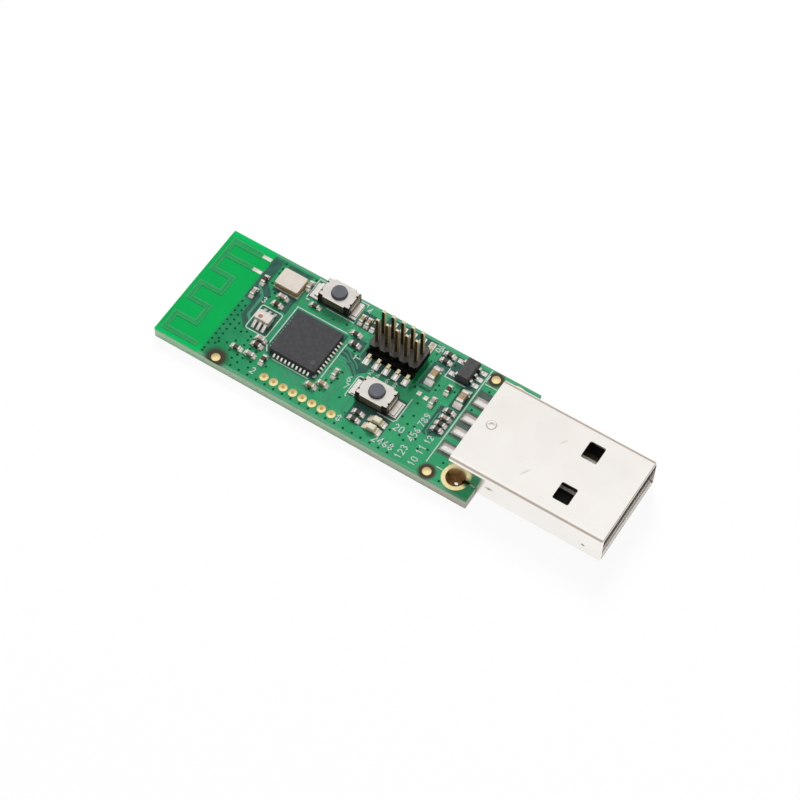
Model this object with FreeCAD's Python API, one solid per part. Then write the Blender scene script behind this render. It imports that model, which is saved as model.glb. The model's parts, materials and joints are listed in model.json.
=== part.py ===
import FreeCAD, Part
import os

# A bare-board USB radio stick: a circuit board with a printed antenna at one end and a USB type A plug
# at the other.
# Lengths are in millimetres. While the pieces are made, x runs from the antenna end towards the plug,
# y from the near long edge to the far one, and z up from the board's underside.

# Circuit board
BOARD_LENGTH = 41.1
BOARD_WIDTH = 16.1
BOARD_THICKNESS = 1.5
BOARD_CORNER_RADIUS = 0.12
LAND_THICKNESS = 0.05
BOARD_TOP = BOARD_THICKNESS
SEAT = BOARD_TOP + LAND_THICKNESS

# Printed antenna: one folded line with two feeds
TRACE_WIDTH = 0.5
FEED_TRACE_WIDTH = 0.7
ANTENNA_OUTER_X = 0.85
ANTENNA_INNER_X = 3.55
ANTENNA_FEED_X = 5.95
ANTENNA_TAIL_X = 5.2
FEED_ROW_Y = 14.85
SHORT_ROW_Y = 12.8
FOLD_ROWS_Y = (10.4, 8.05, 5.7, 3.15, 0.92)
FEED_LAND_LENGTH = 1.25
FEED_LAND_WIDTH = 0.48

# Bare gold lands
TEST_PAD_COUNT = 8
TEST_PAD_PITCH = 1.27
TEST_PAD_RADIUS = 0.53
FIRST_TEST_PAD_X = 13.98
TEST_PAD_Y = 1.35
ROUND_LAND_RADIUS = 0.53
ROUND_LAND_PLACES = ((8.03, 0.58), (35.56, 0.95), (35.8, 15.1))

# Radio chip: a square leadless package with ten leads a side
CHIP_X = 15.63
CHIP_Y = 7.42
CHIP_SIDE = 6.0
CHIP_HEIGHT = 0.85
CHIP_LEADS_A_SIDE = 10
CHIP_LEAD_PITCH = 0.5
CHIP_LEAD_WIDTH = 0.25
CHIP_LEAD_LENGTH = 0.4
CHIP_LEAD_HEIGHT = 0.22
CHIP_SOLDER_REACH = 0.4
CHIP_SOLDER_TIP = 0.06

# Crystal: a ceramic base with a metal lid
CRYSTAL_X = 9.63
CRYSTAL_Y = 13.36
CRYSTAL_LENGTH = 3.2
CRYSTAL_WIDTH = 2.5
CRYSTAL_BASE_HEIGHT = 0.4
CRYSTAL_LID_HEIGHT = 0.4
CRYSTAL_RIM = 0.06
CRYSTAL_CORNER_RADIUS = 0.25
CRYSTAL_NOTCH_RADIUS = 0.15
CRYSTAL_LAND_LENGTH = 0.9
CRYSTAL_LAND_WIDTH = 0.75

# Balun: a ceramic brick with three terminals on each long side
BALUN_X = 9.8
BALUN_Y = 7.55
BALUN_LENGTH = 2.0
BALUN_WIDTH = 1.25
BALUN_HEIGHT = 0.95
BALUN_BEVEL = 0.06
BALUN_TERMINAL_PITCH = 0.65
BALUN_TERMINAL_WIDTH = 0.34
BALUN_TERMINAL_SKIN = 0.03
BALUN_TERMINAL_WRAP = 0.2
BALUN_LAND_REACH = 0.85
BALUN_LAND_WIDTH = 0.38

# Push switches
NEAR_SWITCH_PLACE = (26.0, 5.8)
FAR_SWITCH_PLACE = (15.4, 14.5)
FAR_SWITCH_LAND_PLACE = (15.25, 14.27)
SWITCH_BASE_LENGTH = 4.1
SWITCH_BASE_WIDTH = 2.85
SWITCH_BASE_HEIGHT = 1.3
SWITCH_CORNER_LENGTH = 0.62
SWITCH_CORNER_WIDTH = 0.2
SWITCH_CORNER_DROP = 0.25
SWITCH_COVER_LENGTH = 4.0
SWITCH_COVER_THICKNESS = 0.12
SWITCH_SKIRT_LIFT = 0.25
SWITCH_END_NOTCH_OFFSET = 0.66
SWITCH_END_NOTCH_WIDTH = 0.22
SWITCH_END_NOTCH_DEPTH = 0.16
SWITCH_CAVITY_RADIUS = 1.16
SWITCH_FLOOR = 0.3
PLUNGER_RADIUS = 0.91
PLUNGER_CLEARANCE = 0.05
PLUNGER_FLANGE_RADIUS = 1.06
PLUNGER_FLANGE_HEIGHT = 0.25
PLUNGER_RISE = 0.4
PLUNGER_TRAVEL = 0.25
PLUNGER_EDGE_RADIUS = 0.1
PLUNGER_STUB_RADIUS = 0.5
DOME_RADIUS = 1.02
DOME_RISE = 0.35
DOME_THICKNESS = 0.06
SWITCH_LEG_WIDTH = 1.9
SWITCH_LEG_FOOT = 0.8
SWITCH_LEG_RISE = 0.85
SWITCH_LEG_THICKNESS = 0.15
SWITCH_LAND_INNER = 1.9
SWITCH_LAND_OUTER = 3.1
SWITCH_LAND_WIDTH = 2.15

# Ten-pin header
HEADER_X = 24.93
HEADER_Y = 12.17
HEADER_PITCH = 1.27
HEADER_COLUMNS = 5
HEADER_WIDTH = 3.3
HEADER_BODY_HEIGHT = 1.0
HEADER_CORNER_CUT = 0.35
HEADER_STANDOFF = 0.1
PIN_SIDE = 0.41
PIN_TOP = 5.56
PIN_TIP_CUT = 0.08
TAIL_REACH = 2.6
HEADER_LAND_INNER = 1.25
HEADER_LAND_OUTER = 3.33
HEADER_LAND_WIDTH = 0.75

# Regulator: a small moulded body with five bent leads
REGULATOR_X = 32.75
REGULATOR_Y = 14.1
REGULATOR_LENGTH = 2.9
REGULATOR_WIDTH = 1.6
REGULATOR_HEIGHT = 1.1
REGULATOR_DRAFT = 0.1
REGULATOR_STANDOFF = 0.08
REGULATOR_LEAD_PITCH = 0.95
REGULATOR_LEAD_WIDTH = 0.4
REGULATOR_LEAD_THICKNESS = 0.15
REGULATOR_LEAD_RISE = 0.6
REGULATOR_LEAD_REACH = 0.62
REGULATOR_SHOULDER = 0.26
REGULATOR_LEAD_SLOPE = 0.12
REGULATOR_LAND_INNER = 1.0
REGULATOR_LAND_OUTER = 1.87
REGULATOR_LAND_WIDTH = 0.58

# Lamps
LAMP_PLACES = ((27.7, 3.26), (27.65, 2.14))
LAMP_LENGTH = 1.6
LAMP_WIDTH = 0.8
LAMP_BASE_HEIGHT = 0.25
LAMP_LENS_LENGTH = 1.16
LAMP_LENS_HEIGHT = 0.4
LAMP_LENS_CUT = 0.12
LAMP_CAP_LENGTH = 0.3
LAMP_CAP_SKIN = 0.04
LAMP_LAND_OUTER = 1.17
LAMP_LAND_WIDTH = 0.8

# Chip parts
SMALL_CHIP_LENGTH = 1.0
SMALL_CHIP_WIDTH = 0.5
LARGE_CHIP_LENGTH = 1.6
LARGE_CHIP_WIDTH = 0.8
SMALL_CAP_LENGTH = 0.22
LARGE_CAP_LENGTH = 0.36
CAP_SKIN = 0.02
CAPACITOR_HEIGHT = 0.5
RESISTOR_HEIGHT = 0.35
CHOKE_HEIGHT = 0.45
LARGE_CAPACITOR_HEIGHT = 0.8
SMALL_LAND_REACH = 0.32
LARGE_LAND_REACH = 0.62
LAND_OVERLAP = 0.2
SMALL_LAND_WIDTH = 0.6
LARGE_LAND_WIDTH = 1.05
SOLDER_CLIMB = 0.5

# Where each chip part stands: its kind, its centre, and whether it lies along the board or across it
CHIP_PLACES = (
    ("choke", 6.8, 12.15, "across"),
    ("grey_capacitor", 6.72, 10.05, "across"),
    ("grey_capacitor", 9.85, 11.25, "along"),
    ("choke", 9.85, 10.08, "along"),
    ("grey_capacitor", 10.93, 5.22, "along"),
    ("choke", 11.0, 4.33, "along"),
    ("resistor", 9.25, 2.85, "along"),
    ("grey_capacitor", 11.05, 2.88, "along"),
    ("choke", 12.7, 3.1, "across"),
    ("grey_capacitor", 11.58, 14.28, "across"),
    ("resistor", 13.55, 12.3, "along"),
    ("tan_capacitor", 19.05, 13.65, "across"),
    ("tan_capacitor", 19.87, 13.65, "across"),
    ("resistor", 20.7, 13.55, "across"),
    ("resistor", 19.5, 11.65, "along"),
    ("resistor", 20.12, 10.4, "along"),
    ("grey_capacitor", 20.42, 6.0, "across"),
    ("tan_capacitor", 19.95, 4.03, "along"),
    ("tan_capacitor", 18.95, 3.15, "along"),
    ("resistor", 25.32, 3.07, "along"),
    ("resistor", 25.32, 2.12, "along"),
    ("resistor", 29.85, 15.0, "along"),
    ("resistor", 29.85, 14.05, "along"),
    ("choke", 32.1, 11.0, "across"),
    ("grey_capacitor", 31.45, 8.7, "across"),
    ("resistor", 33.7, 8.62, "along"),
    ("grey_capacitor", 33.75, 7.63, "along"),
    ("resistor", 33.7, 6.75, "along"),
    ("resistor", 33.7, 5.95, "along"),
    ("large_capacitor", 29.75, 11.72, "across"),
    ("large_capacitor", 34.0, 10.85, "across"),
)
EMPTY_LAND_PLACES = ((29.55, 8.95), (30.5, 8.8))
EMPTY_LAND_SIDE = 0.55

# USB type A plug: a folded steel shell round a moulded block with four contacts
PLUG_SHOULDER = 2.05
PLUG_HEIGHT = 4.5
PLUG_BELOW_BOARD_TOP = 1.3
PLUG_REACH = 15.55
PLUG_SEAT_LENGTH = 3.55
SHEET = 0.3
BEND_RADIUS = 0.6
STEP_GAP = 0.12
SEAM_GAP = 0.1
WINDOW_LENGTH = 1.95
WINDOW_WIDTH = 2.3
WINDOW_CORNER_RADIUS = 0.2
WINDOW_SET_BACK = 6.35
WINDOW_OFFSET = 3.02
DIMPLE_RADIUS = 0.62
DIMPLE_DEPTH = 0.1
DIMPLE_SET_IN = 1.72
SIDE_SLOT_LENGTH = 0.55
SIDE_SLOT_HEIGHT = 0.22
SIDE_SLOT_SET_OUT = 1.4
SIDE_SLOT_RISE = 1.2
SIDE_PIT_RADIUS = 0.18
SIDE_PIT_DEPTH = 0.08
SIDE_PIT_SET_BACK = 2.2
SIDE_PIT_RISE = 0.55
LIP_CUT = 0.1
LEG_LENGTH = 1.6
LEG_END = 0.15
LEG_HOLE_RADIUS = 1.12
LEG_HOLE_WALL = 0.06
LEG_HOLE_OUTSET = 0.075
LEG_HOLE_SET_BACK = 2.5
LEG_RING_RADIUS = 1.62

# Moulded block and contacts
BLOCK_SET_IN = 0.6
MOUTH_DEPTH = 11.95
TONGUE_SET_BACK = 0.8
TONGUE_THICKNESS = 1.95
OUTER_CONTACT_OFFSET = 3.5
INNER_CONTACT_OFFSET = 1.0
CONTACT_WIDTH = 1.0
CONTACT_THICKNESS = 0.2
CONTACT_PROUD = 0.04
CONTACT_SET_BACK = 0.5
CONTACT_DROP_GAP = 0.15
TAIL_LENGTH = 2.6
TAIL_LAND_LENGTH = 2.4
TAIL_LAND_WIDTH = 1.2
TAIL_LAND_MARGIN = 0.22
TAIL_SOLDER_REACH = 0.2
TAIL_SOLDER_SIDE = 0.1

# Sizes and places that follow from the ones above: the plug leaves a shoulder of the board free on each side
PLUG_WIDTH = BOARD_WIDTH - 2 * PLUG_SHOULDER
LEG_HOLE_SPACING = PLUG_WIDTH + 2 * LEG_HOLE_OUTSET
CONTACT_OFFSETS = (-OUTER_CONTACT_OFFSET, -INNER_CONTACT_OFFSET, INNER_CONTACT_OFFSET, OUTER_CONTACT_OFFSET)
PLUG_FRONT = BOARD_LENGTH + PLUG_REACH
PLUG_REAR = BOARD_LENGTH - PLUG_SEAT_LENGTH
PLUG_Y = BOARD_WIDTH / 2
PLUG_BOTTOM = BOARD_TOP - PLUG_BELOW_BOARD_TOP
PLUG_TOP = PLUG_BOTTOM + PLUG_HEIGHT
WALL_Y = PLUG_WIDTH / 2
LEG_HOLE_X = BOARD_LENGTH - LEG_HOLE_SET_BACK
TONGUE_TOP = PLUG_BOTTOM + SHEET + TONGUE_THICKNESS


def box(x0, x1, y0, y1, z0, z1):
    """A block between two corners."""
    return Part.makeBox(x1 - x0, y1 - y0, z1 - z0, FreeCAD.Vector(x0, y0, z0))


def block(x, y, length, width, z0, z1):
    """A block centred on a place of the board."""
    return box(x - length / 2, x + length / 2, y - width / 2, y + width / 2, z0, z1)


def disc(x, y, radius, z0, z1):
    """An upright cylinder."""
    return Part.makeCylinder(radius, z1 - z0, FreeCAD.Vector(x, y, z0))


def upright_edges(shape):
    """The edges of a block that run straight up."""
    edges = []
    for edge in shape.Edges:
        bounds = edge.BoundBox
        if bounds.ZLength > 1e-6 and bounds.XLength < 1e-6 and bounds.YLength < 1e-6:
            edges.append(edge)
    return edges


def rounded_block(x, y, length, width, radius, z0, z1):
    """A block with its upright edges rounded."""
    shape = block(x, y, length, width, z0, z1)
    return shape.makeFillet(radius, upright_edges(shape))


def prism(outline, direction):
    """A flat outline pushed along a direction."""
    corners = [FreeCAD.Vector(*point) for point in outline]
    wire = Part.makePolygon(corners + corners[:1])
    return Part.Face(wire).extrude(FreeCAD.Vector(*direction))


def placed(shape, x, y, direction):
    """A shape made round the origin, moved to its place, and turned a quarter if it lies across the board."""
    result = shape.copy()
    if direction == "across":
        result.rotate(FreeCAD.Vector(0, 0, 0), FreeCAD.Vector(0, 0, 1), 90)
    result.translate(FreeCAD.Vector(x, y, 0))
    return result


def fused(shapes):
    """Several touching shapes as one solid."""
    return shapes[0].multiFuse(shapes[1:]).removeSplitter()


def land(inner, outer, width, part_end=None, climb=0.0):
    """A tinned land along x; where a part end is given, its solder climbs the part's end face."""
    low = BOARD_TOP
    outline = [(inner, low), (outer, low), (outer, SEAT)]
    if part_end is not None:
        outline.append((part_end, SEAT + climb))
        outline.append((part_end, SEAT))
    outline.append((inner, SEAT))
    points = [(x, -width / 2, z) for x, z in outline]
    return prism(points, (0, width, 0))


def mirrored_x(shape):
    """The same shape on the other side of the origin along x."""
    return shape.mirror(FreeCAD.Vector(0, 0, 0), FreeCAD.Vector(1, 0, 0))


def mirrored_y(shape, y):
    """The same shape on the other side of a line along the board."""
    return shape.mirror(FreeCAD.Vector(0, y, 0), FreeCAD.Vector(0, 1, 0))


nodes = {}


def keep(name, shapes):
    """Notes the solids of one node."""
    nodes.setdefault(name, []).extend(shapes)


def make_board():
    centre_x = BOARD_LENGTH / 2
    board = rounded_block(centre_x, PLUG_Y, BOARD_LENGTH, BOARD_WIDTH, BOARD_CORNER_RADIUS, 0, BOARD_TOP)
    for side in (-1, 1):
        hole_y = PLUG_Y + side * LEG_HOLE_SPACING / 2
        board = board.cut(disc(LEG_HOLE_X, hole_y, LEG_HOLE_RADIUS + LEG_HOLE_WALL, 0, BOARD_TOP))
    keep("circuit_board", [board])


def make_antenna():
    """The feed and the short row reach the spine, and the line then folds back and forth to its open end."""
    half = TRACE_WIDTH / 2
    spine_end = FOLD_ROWS_Y[0]

    def row(y, x_end, width):
        return box(ANTENNA_OUTER_X - half, x_end, y - width / 2, y + width / 2, BOARD_TOP, SEAT)

    def riser(x, y_low, y_high):
        return box(x - half, x + half, y_low - half, y_high + half, BOARD_TOP, SEAT)

    feed_end = ANTENNA_FEED_X - FEED_LAND_LENGTH
    pieces = [
        row(FEED_ROW_Y, feed_end, FEED_TRACE_WIDTH),
        row(SHORT_ROW_Y, feed_end, TRACE_WIDTH),
        riser(ANTENNA_OUTER_X, spine_end, FEED_ROW_Y),
    ]
    side_x = ANTENNA_INNER_X
    for upper, lower in zip(FOLD_ROWS_Y, FOLD_ROWS_Y[1:]):
        pieces.append(row(upper, ANTENNA_INNER_X + half, TRACE_WIDTH))
        pieces.append(riser(side_x, lower, upper))
        side_x = ANTENNA_OUTER_X + ANTENNA_INNER_X - side_x
    pieces.append(row(FOLD_ROWS_Y[-1], ANTENNA_TAIL_X, TRACE_WIDTH))
    keep("antenna_trace", [fused(pieces)])
    for y in (FEED_ROW_Y, SHORT_ROW_Y):
        half_land = FEED_LAND_WIDTH / 2
        keep("solder_lands", [box(feed_end, ANTENNA_FEED_X, y - half_land, y + half_land, BOARD_TOP, SEAT)])


def make_gold_lands():
    for index in range(TEST_PAD_COUNT):
        x = FIRST_TEST_PAD_X + index * TEST_PAD_PITCH
        keep("test_pads", [disc(x, TEST_PAD_Y, TEST_PAD_RADIUS, BOARD_TOP, SEAT)])
    for x, y in ROUND_LAND_PLACES:
        keep("round_lands", [disc(x, y, ROUND_LAND_RADIUS, BOARD_TOP, SEAT)])


def make_plated_holes():
    """A gold ring on both faces of the board, joined by the plating of the hole."""
    for name, side in (("near_plated_hole", -1), ("far_plated_hole", 1)):
        y = PLUG_Y + side * LEG_HOLE_SPACING / 2
        ring = disc(LEG_HOLE_X, y, LEG_RING_RADIUS, BOARD_TOP, SEAT)
        barrel = disc(LEG_HOLE_X, y, LEG_HOLE_RADIUS + LEG_HOLE_WALL, 0, SEAT)
        opening = disc(LEG_HOLE_X, y, LEG_HOLE_RADIUS, 0, SEAT)
        keep(name, [fused([ring, barrel]).cut(opening)])


def make_radio_chip():
    half = CHIP_SIDE / 2
    top = SEAT + CHIP_HEIGHT
    body = block(0, 0, CHIP_SIDE, CHIP_SIDE, SEAT, top)
    leads = []
    solder = []
    first = -(CHIP_LEADS_A_SIDE - 1) / 2 * CHIP_LEAD_PITCH
    tip = half + CHIP_SOLDER_REACH
    for index in range(CHIP_LEADS_A_SIDE):
        y = first + index * CHIP_LEAD_PITCH
        lead_top = SEAT + CHIP_LEAD_HEIGHT
        lead = block(half - CHIP_LEAD_LENGTH / 2, y, CHIP_LEAD_LENGTH, CHIP_LEAD_WIDTH, SEAT, lead_top)
        outline = [(half, BOARD_TOP), (tip, BOARD_TOP), (tip, BOARD_TOP + CHIP_SOLDER_TIP), (half, lead_top)]
        low_y = y - CHIP_LEAD_WIDTH / 2
        joint = prism([(x, low_y, z) for x, z in outline], (0, CHIP_LEAD_WIDTH, 0))
        for quarter in range(4):
            for shape, group in ((lead, leads), (joint, solder)):
                turned = shape.copy()
                turned.rotate(FreeCAD.Vector(0, 0, 0), FreeCAD.Vector(0, 0, 1), 90 * quarter)
                group.append(turned)
    body = body.cut(Part.makeCompound(leads))
    keep("radio_chip", [placed(body, CHIP_X, CHIP_Y, "along")])
    keep("radio_chip_leads", [placed(lead, CHIP_X, CHIP_Y, "along") for lead in leads])
    keep("chip_solder", [placed(joint, CHIP_X, CHIP_Y, "along") for joint in solder])


def make_crystal():
    """The base has a round notch down each corner, and the lid is brazed on top of it."""
    base_top = SEAT + CRYSTAL_BASE_HEIGHT
    base = block(0, 0, CRYSTAL_LENGTH, CRYSTAL_WIDTH, SEAT, base_top)
    for side_x in (-1, 1):
        for side_y in (-1, 1):
            corner_x = side_x * CRYSTAL_LENGTH / 2
            corner_y = side_y * CRYSTAL_WIDTH / 2
            base = base.cut(disc(corner_x, corner_y, CRYSTAL_NOTCH_RADIUS, SEAT, base_top))
            land_x = CRYSTAL_X + side_x * (CRYSTAL_LENGTH - CRYSTAL_LAND_LENGTH) / 2
            land_y = CRYSTAL_Y + side_y * (CRYSTAL_WIDTH - CRYSTAL_LAND_WIDTH) / 2
            pad = block(land_x, land_y, CRYSTAL_LAND_LENGTH, CRYSTAL_LAND_WIDTH, BOARD_TOP, SEAT)
            keep("solder_lands", [pad])
    lid_length = CRYSTAL_LENGTH - 2 * CRYSTAL_RIM
    lid_width = CRYSTAL_WIDTH - 2 * CRYSTAL_RIM
    lid_top = base_top + CRYSTAL_LID_HEIGHT
    lid = rounded_block(0, 0, lid_length, lid_width, CRYSTAL_CORNER_RADIUS, base_top, lid_top)
    keep("crystal_base", [placed(base, CRYSTAL_X, CRYSTAL_Y, "along")])
    keep("crystal_lid", [placed(lid, CRYSTAL_X, CRYSTAL_Y, "along")])


def make_balun():
    """Each terminal is a plated strap that wraps from the land up the side and over the top edge."""
    top = SEAT + BALUN_HEIGHT
    core_width = BALUN_WIDTH - 2 * BALUN_TERMINAL_SKIN
    core_low = SEAT + BALUN_TERMINAL_SKIN
    core_top = top - BALUN_TERMINAL_SKIN
    body = block(0, 0, BALUN_LENGTH, core_width, core_low, core_top)
    body = body.makeChamfer(BALUN_BEVEL, upright_edges(body))
    half = BALUN_WIDTH / 2
    straps = []
    for index in (-1, 0, 1):
        x = index * BALUN_TERMINAL_PITCH
        sleeve = block(x, 0, BALUN_TERMINAL_WIDTH, BALUN_WIDTH, SEAT, top).cut(body)
        middle = BALUN_WIDTH - 2 * BALUN_TERMINAL_WRAP
        sleeve = sleeve.cut(block(x, 0, BALUN_TERMINAL_WIDTH, middle, SEAT, top))
        straps.extend(sleeve.Solids)
        for side in (-1, 1):
            pad = land(half - LAND_OVERLAP, half + BALUN_LAND_REACH, BALUN_LAND_WIDTH, half,
                       BALUN_HEIGHT * SOLDER_CLIMB)
            pad.rotate(FreeCAD.Vector(0, 0, 0), FreeCAD.Vector(0, 0, 1), 90 * side)
            keep("solder_lands", [placed(pad, BALUN_X + x, BALUN_Y, "along")])
    keep("balun_body", [placed(body, BALUN_X, BALUN_Y, "along")])
    keep("balun_terminals", [placed(strap, BALUN_X, BALUN_Y, "along") for strap in straps])


def make_switch(name, place, land_place):
    """A black base with a round well for dome and plunger, under a metal cover with two side skirts."""
    x, y = place
    base_top = SEAT + SWITCH_BASE_HEIGHT
    cover_top = base_top + SWITCH_COVER_THICKNESS
    well_floor = SEAT + SWITCH_FLOOR
    base = block(0, 0, SWITCH_BASE_LENGTH, SWITCH_BASE_WIDTH, SEAT, base_top)
    base = base.cut(disc(0, 0, SWITCH_CAVITY_RADIUS, well_floor, base_top))
    cover = block(0, 0, SWITCH_COVER_LENGTH, SWITCH_BASE_WIDTH, base_top, cover_top)
    cover = cover.cut(disc(0, 0, PLUNGER_RADIUS + PLUNGER_CLEARANCE, base_top, cover_top))
    skirt_length = SWITCH_BASE_LENGTH - 2 * SWITCH_CORNER_LENGTH
    for side_y in (-1, 1):
        skirt_y = side_y * (SWITCH_BASE_WIDTH - SWITCH_COVER_THICKNESS) / 2
        skirt = block(0, skirt_y, skirt_length, SWITCH_COVER_THICKNESS, SEAT + SWITCH_SKIRT_LIFT, base_top)
        base = base.cut(skirt)
        cover = cover.fuse(skirt)
        for side_x in (-1, 1):
            corner_x = side_x * (SWITCH_BASE_LENGTH - SWITCH_CORNER_LENGTH) / 2
            corner_y = side_y * (SWITCH_BASE_WIDTH - SWITCH_CORNER_WIDTH) / 2
            corner = block(corner_x, corner_y, SWITCH_CORNER_LENGTH, SWITCH_CORNER_WIDTH,
                           base_top - SWITCH_CORNER_DROP, cover_top)
            notch_x = side_x * (SWITCH_COVER_LENGTH - SWITCH_END_NOTCH_DEPTH) / 2
            notch = block(notch_x, side_y * SWITCH_END_NOTCH_OFFSET, SWITCH_END_NOTCH_DEPTH,
                          SWITCH_END_NOTCH_WIDTH, base_top, cover_top)
            base = base.cut(corner)
            cover = cover.cut(corner).cut(notch)
    cover = cover.removeSplitter()
    inner = SWITCH_BASE_LENGTH / 2
    half_leg = SWITCH_LEG_WIDTH / 2
    foot = box(inner, inner + SWITCH_LEG_FOOT, -half_leg, half_leg, SEAT, SEAT + SWITCH_LEG_THICKNESS)
    upright = box(inner, inner + SWITCH_LEG_THICKNESS, -half_leg, half_leg, SEAT, SEAT + SWITCH_LEG_RISE)
    leg = fused([foot, upright])
    flange_top = base_top - PLUNGER_CLEARANCE / 2
    flange_low = flange_top - PLUNGER_FLANGE_HEIGHT
    stem = disc(0, 0, PLUNGER_RADIUS, flange_low, cover_top + PLUNGER_RISE)
    rim = [edge for edge in stem.Edges if edge.BoundBox.ZMin > cover_top]
    stem = stem.makeFillet(PLUNGER_EDGE_RADIUS, rim)
    crown = well_floor + DOME_RISE + DOME_THICKNESS
    flange = disc(0, 0, PLUNGER_FLANGE_RADIUS, flange_low, flange_top)
    stub = disc(0, 0, PLUNGER_STUB_RADIUS, crown, flange_low)
    plunger = fused([stem, flange, stub])
    dome = make_dome(well_floor)
    for node, shapes in (
        ("switch_base", [base]),
        ("switch_cover", [cover]),
        ("switch_terminals", [leg, mirrored_x(leg)]),
        ("switch_plunger", [plunger]),
        ("switch_dome", [dome]),
    ):
        keep(name + "_" + node, [placed(shape, x, y, "along") for shape in shapes])
    pad = land(SWITCH_LAND_INNER, SWITCH_LAND_OUTER, SWITCH_LAND_WIDTH)
    for shape in (pad, mirrored_x(pad)):
        keep("solder_lands", [placed(shape, land_place[0], land_place[1], "along")])


def make_dome(floor):
    """A snap dome: a thin cap of a ball that stands on its rim and carries the plunger on its crown."""
    ball_radius = (DOME_RADIUS ** 2 + DOME_RISE ** 2) / (2 * DOME_RISE)
    centre_z = floor + DOME_RISE - ball_radius
    outer = Part.makeSphere(ball_radius + DOME_THICKNESS, FreeCAD.Vector(0, 0, centre_z))
    inner = Part.makeSphere(ball_radius, FreeCAD.Vector(0, 0, centre_z))
    above_floor = disc(0, 0, SWITCH_CAVITY_RADIUS, floor, floor + SWITCH_BASE_HEIGHT)
    return outer.cut(inner).common(above_floor)


def make_header():
    """A black strip with cut corners at each pitch, and square pins bent outwards under it to their lands."""
    low = SEAT + PIN_SIDE + HEADER_STANDOFF
    top = low + HEADER_BODY_HEIGHT
    half_y = HEADER_WIDTH / 2
    half_x = HEADER_PITCH / 2
    cut = HEADER_CORNER_CUT
    outline = [(-half_x, cut - half_y), (cut - half_x, -half_y)]
    outline += [(half_x - cut, -half_y), (half_x, cut - half_y)]
    outline += [(-x, -y) for x, y in outline]
    cells = []
    pins = []
    column_offset = (HEADER_COLUMNS - 1) / 2
    for column in range(HEADER_COLUMNS):
        x = HEADER_X + (column - column_offset) * HEADER_PITCH
        cells.append(prism([(x + px, HEADER_Y + py, low) for px, py in outline], (0, 0, top - low)))
        for side in (-1, 1):
            pins.append(make_pin(x, side))
            pad = land(HEADER_LAND_INNER, HEADER_LAND_OUTER, HEADER_LAND_WIDTH)
            pad.rotate(FreeCAD.Vector(0, 0, 0), FreeCAD.Vector(0, 0, 1), 90 * side)
            keep("solder_lands", [placed(pad, x, HEADER_Y, "along")])
            keep("tail_solder", [make_header_solder(x, side)])
    housing = fused(cells).cut(Part.makeCompound(pins))
    keep("header_housing", [housing])
    keep("header_pins", pins)


def make_pin(x, side):
    """A square pin: upright through the strip, bent outwards at its foot, with a bevelled tip."""
    y = HEADER_Y + side * HEADER_PITCH / 2
    top = BOARD_TOP + PIN_TOP
    upright = block(x, y, PIN_SIDE, PIN_SIDE, SEAT, top)
    tip = [edge for edge in upright.Edges if edge.BoundBox.ZMin > top - 1e-6]
    upright = upright.makeChamfer(PIN_TIP_CUT, tip)
    end_y = HEADER_Y + side * TAIL_REACH
    start_y = y - side * PIN_SIDE / 2
    half = PIN_SIDE / 2
    tail = box(x - half, x + half, min(start_y, end_y), max(start_y, end_y), SEAT, SEAT + PIN_SIDE)
    return fused([upright, tail])


def make_header_solder(x, side):
    """A wedge of solder in front of a header tail."""
    start = TAIL_REACH
    end = HEADER_LAND_OUTER - LAND_THICKNESS
    outline = [(start, SEAT), (end, SEAT), (start, SEAT + PIN_SIDE * SOLDER_CLIMB)]
    wedge = prism([(px, -PIN_SIDE / 2, pz) for px, pz in outline], (0, PIN_SIDE, 0))
    wedge.rotate(FreeCAD.Vector(0, 0, 0), FreeCAD.Vector(0, 0, 1), 90 * side)
    return placed(wedge, x, HEADER_Y, "along")


def make_regulator():
    """A moulded body that narrows a little above its lead line, and leads bent down to their lands."""
    low = SEAT + REGULATOR_STANDOFF
    lead_line = SEAT + REGULATOR_LEAD_RISE
    top = SEAT + REGULATOR_HEIGHT
    half_x = REGULATOR_WIDTH / 2
    half_y = REGULATOR_LENGTH / 2
    lower = box(-half_x, half_x, -half_y, half_y, low, lead_line)
    upper = tapered_block(half_x, half_y, lead_line, top, REGULATOR_DRAFT)
    body = fused([lower, upper])
    profile_top = lead_line
    profile_low = lead_line - REGULATOR_LEAD_THICKNESS
    shoulder = half_x + REGULATOR_SHOULDER
    foot_end = half_x + REGULATOR_LEAD_REACH
    foot_top = SEAT + REGULATOR_LEAD_THICKNESS
    slope = REGULATOR_LEAD_SLOPE
    outline = [
        (half_x, profile_low),
        (half_x, profile_top),
        (shoulder, profile_top),
        (shoulder + slope, foot_top),
        (foot_end, foot_top),
        (foot_end, SEAT),
        (shoulder, SEAT),
        (shoulder - slope, profile_low),
    ]
    low_y = -REGULATOR_LEAD_WIDTH / 2
    lead = prism([(x, low_y, z) for x, z in outline], (0, REGULATOR_LEAD_WIDTH, 0))
    pad = land(REGULATOR_LAND_INNER, REGULATOR_LAND_OUTER, REGULATOR_LAND_WIDTH)
    leads = []
    for row in (-1, 0, 1):
        y = REGULATOR_Y + row * REGULATOR_LEAD_PITCH
        leads.append(placed(lead, REGULATOR_X, y, "along"))
        keep("solder_lands", [placed(pad, REGULATOR_X, y, "along")])
        if row != 0:
            leads.append(placed(mirrored_x(lead), REGULATOR_X, y, "along"))
            keep("solder_lands", [placed(mirrored_x(pad), REGULATOR_X, y, "along")])
    keep("regulator_body", [placed(body, REGULATOR_X, REGULATOR_Y, "along")])
    keep("regulator_leads", leads)


def tapered_block(half_x, half_y, low, top, inset):
    """A block whose top is a little smaller all round than its bottom."""
    wires = []
    for z, shrink in ((low, 0), (top, inset)):
        x = half_x - shrink
        y = half_y - shrink
        corners = [(-x, -y), (x, -y), (x, y), (-x, y), (-x, -y)]
        wires.append(Part.makePolygon([FreeCAD.Vector(px, py, z) for px, py in corners]))
    return Part.makeLoft(wires, True, True)


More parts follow.
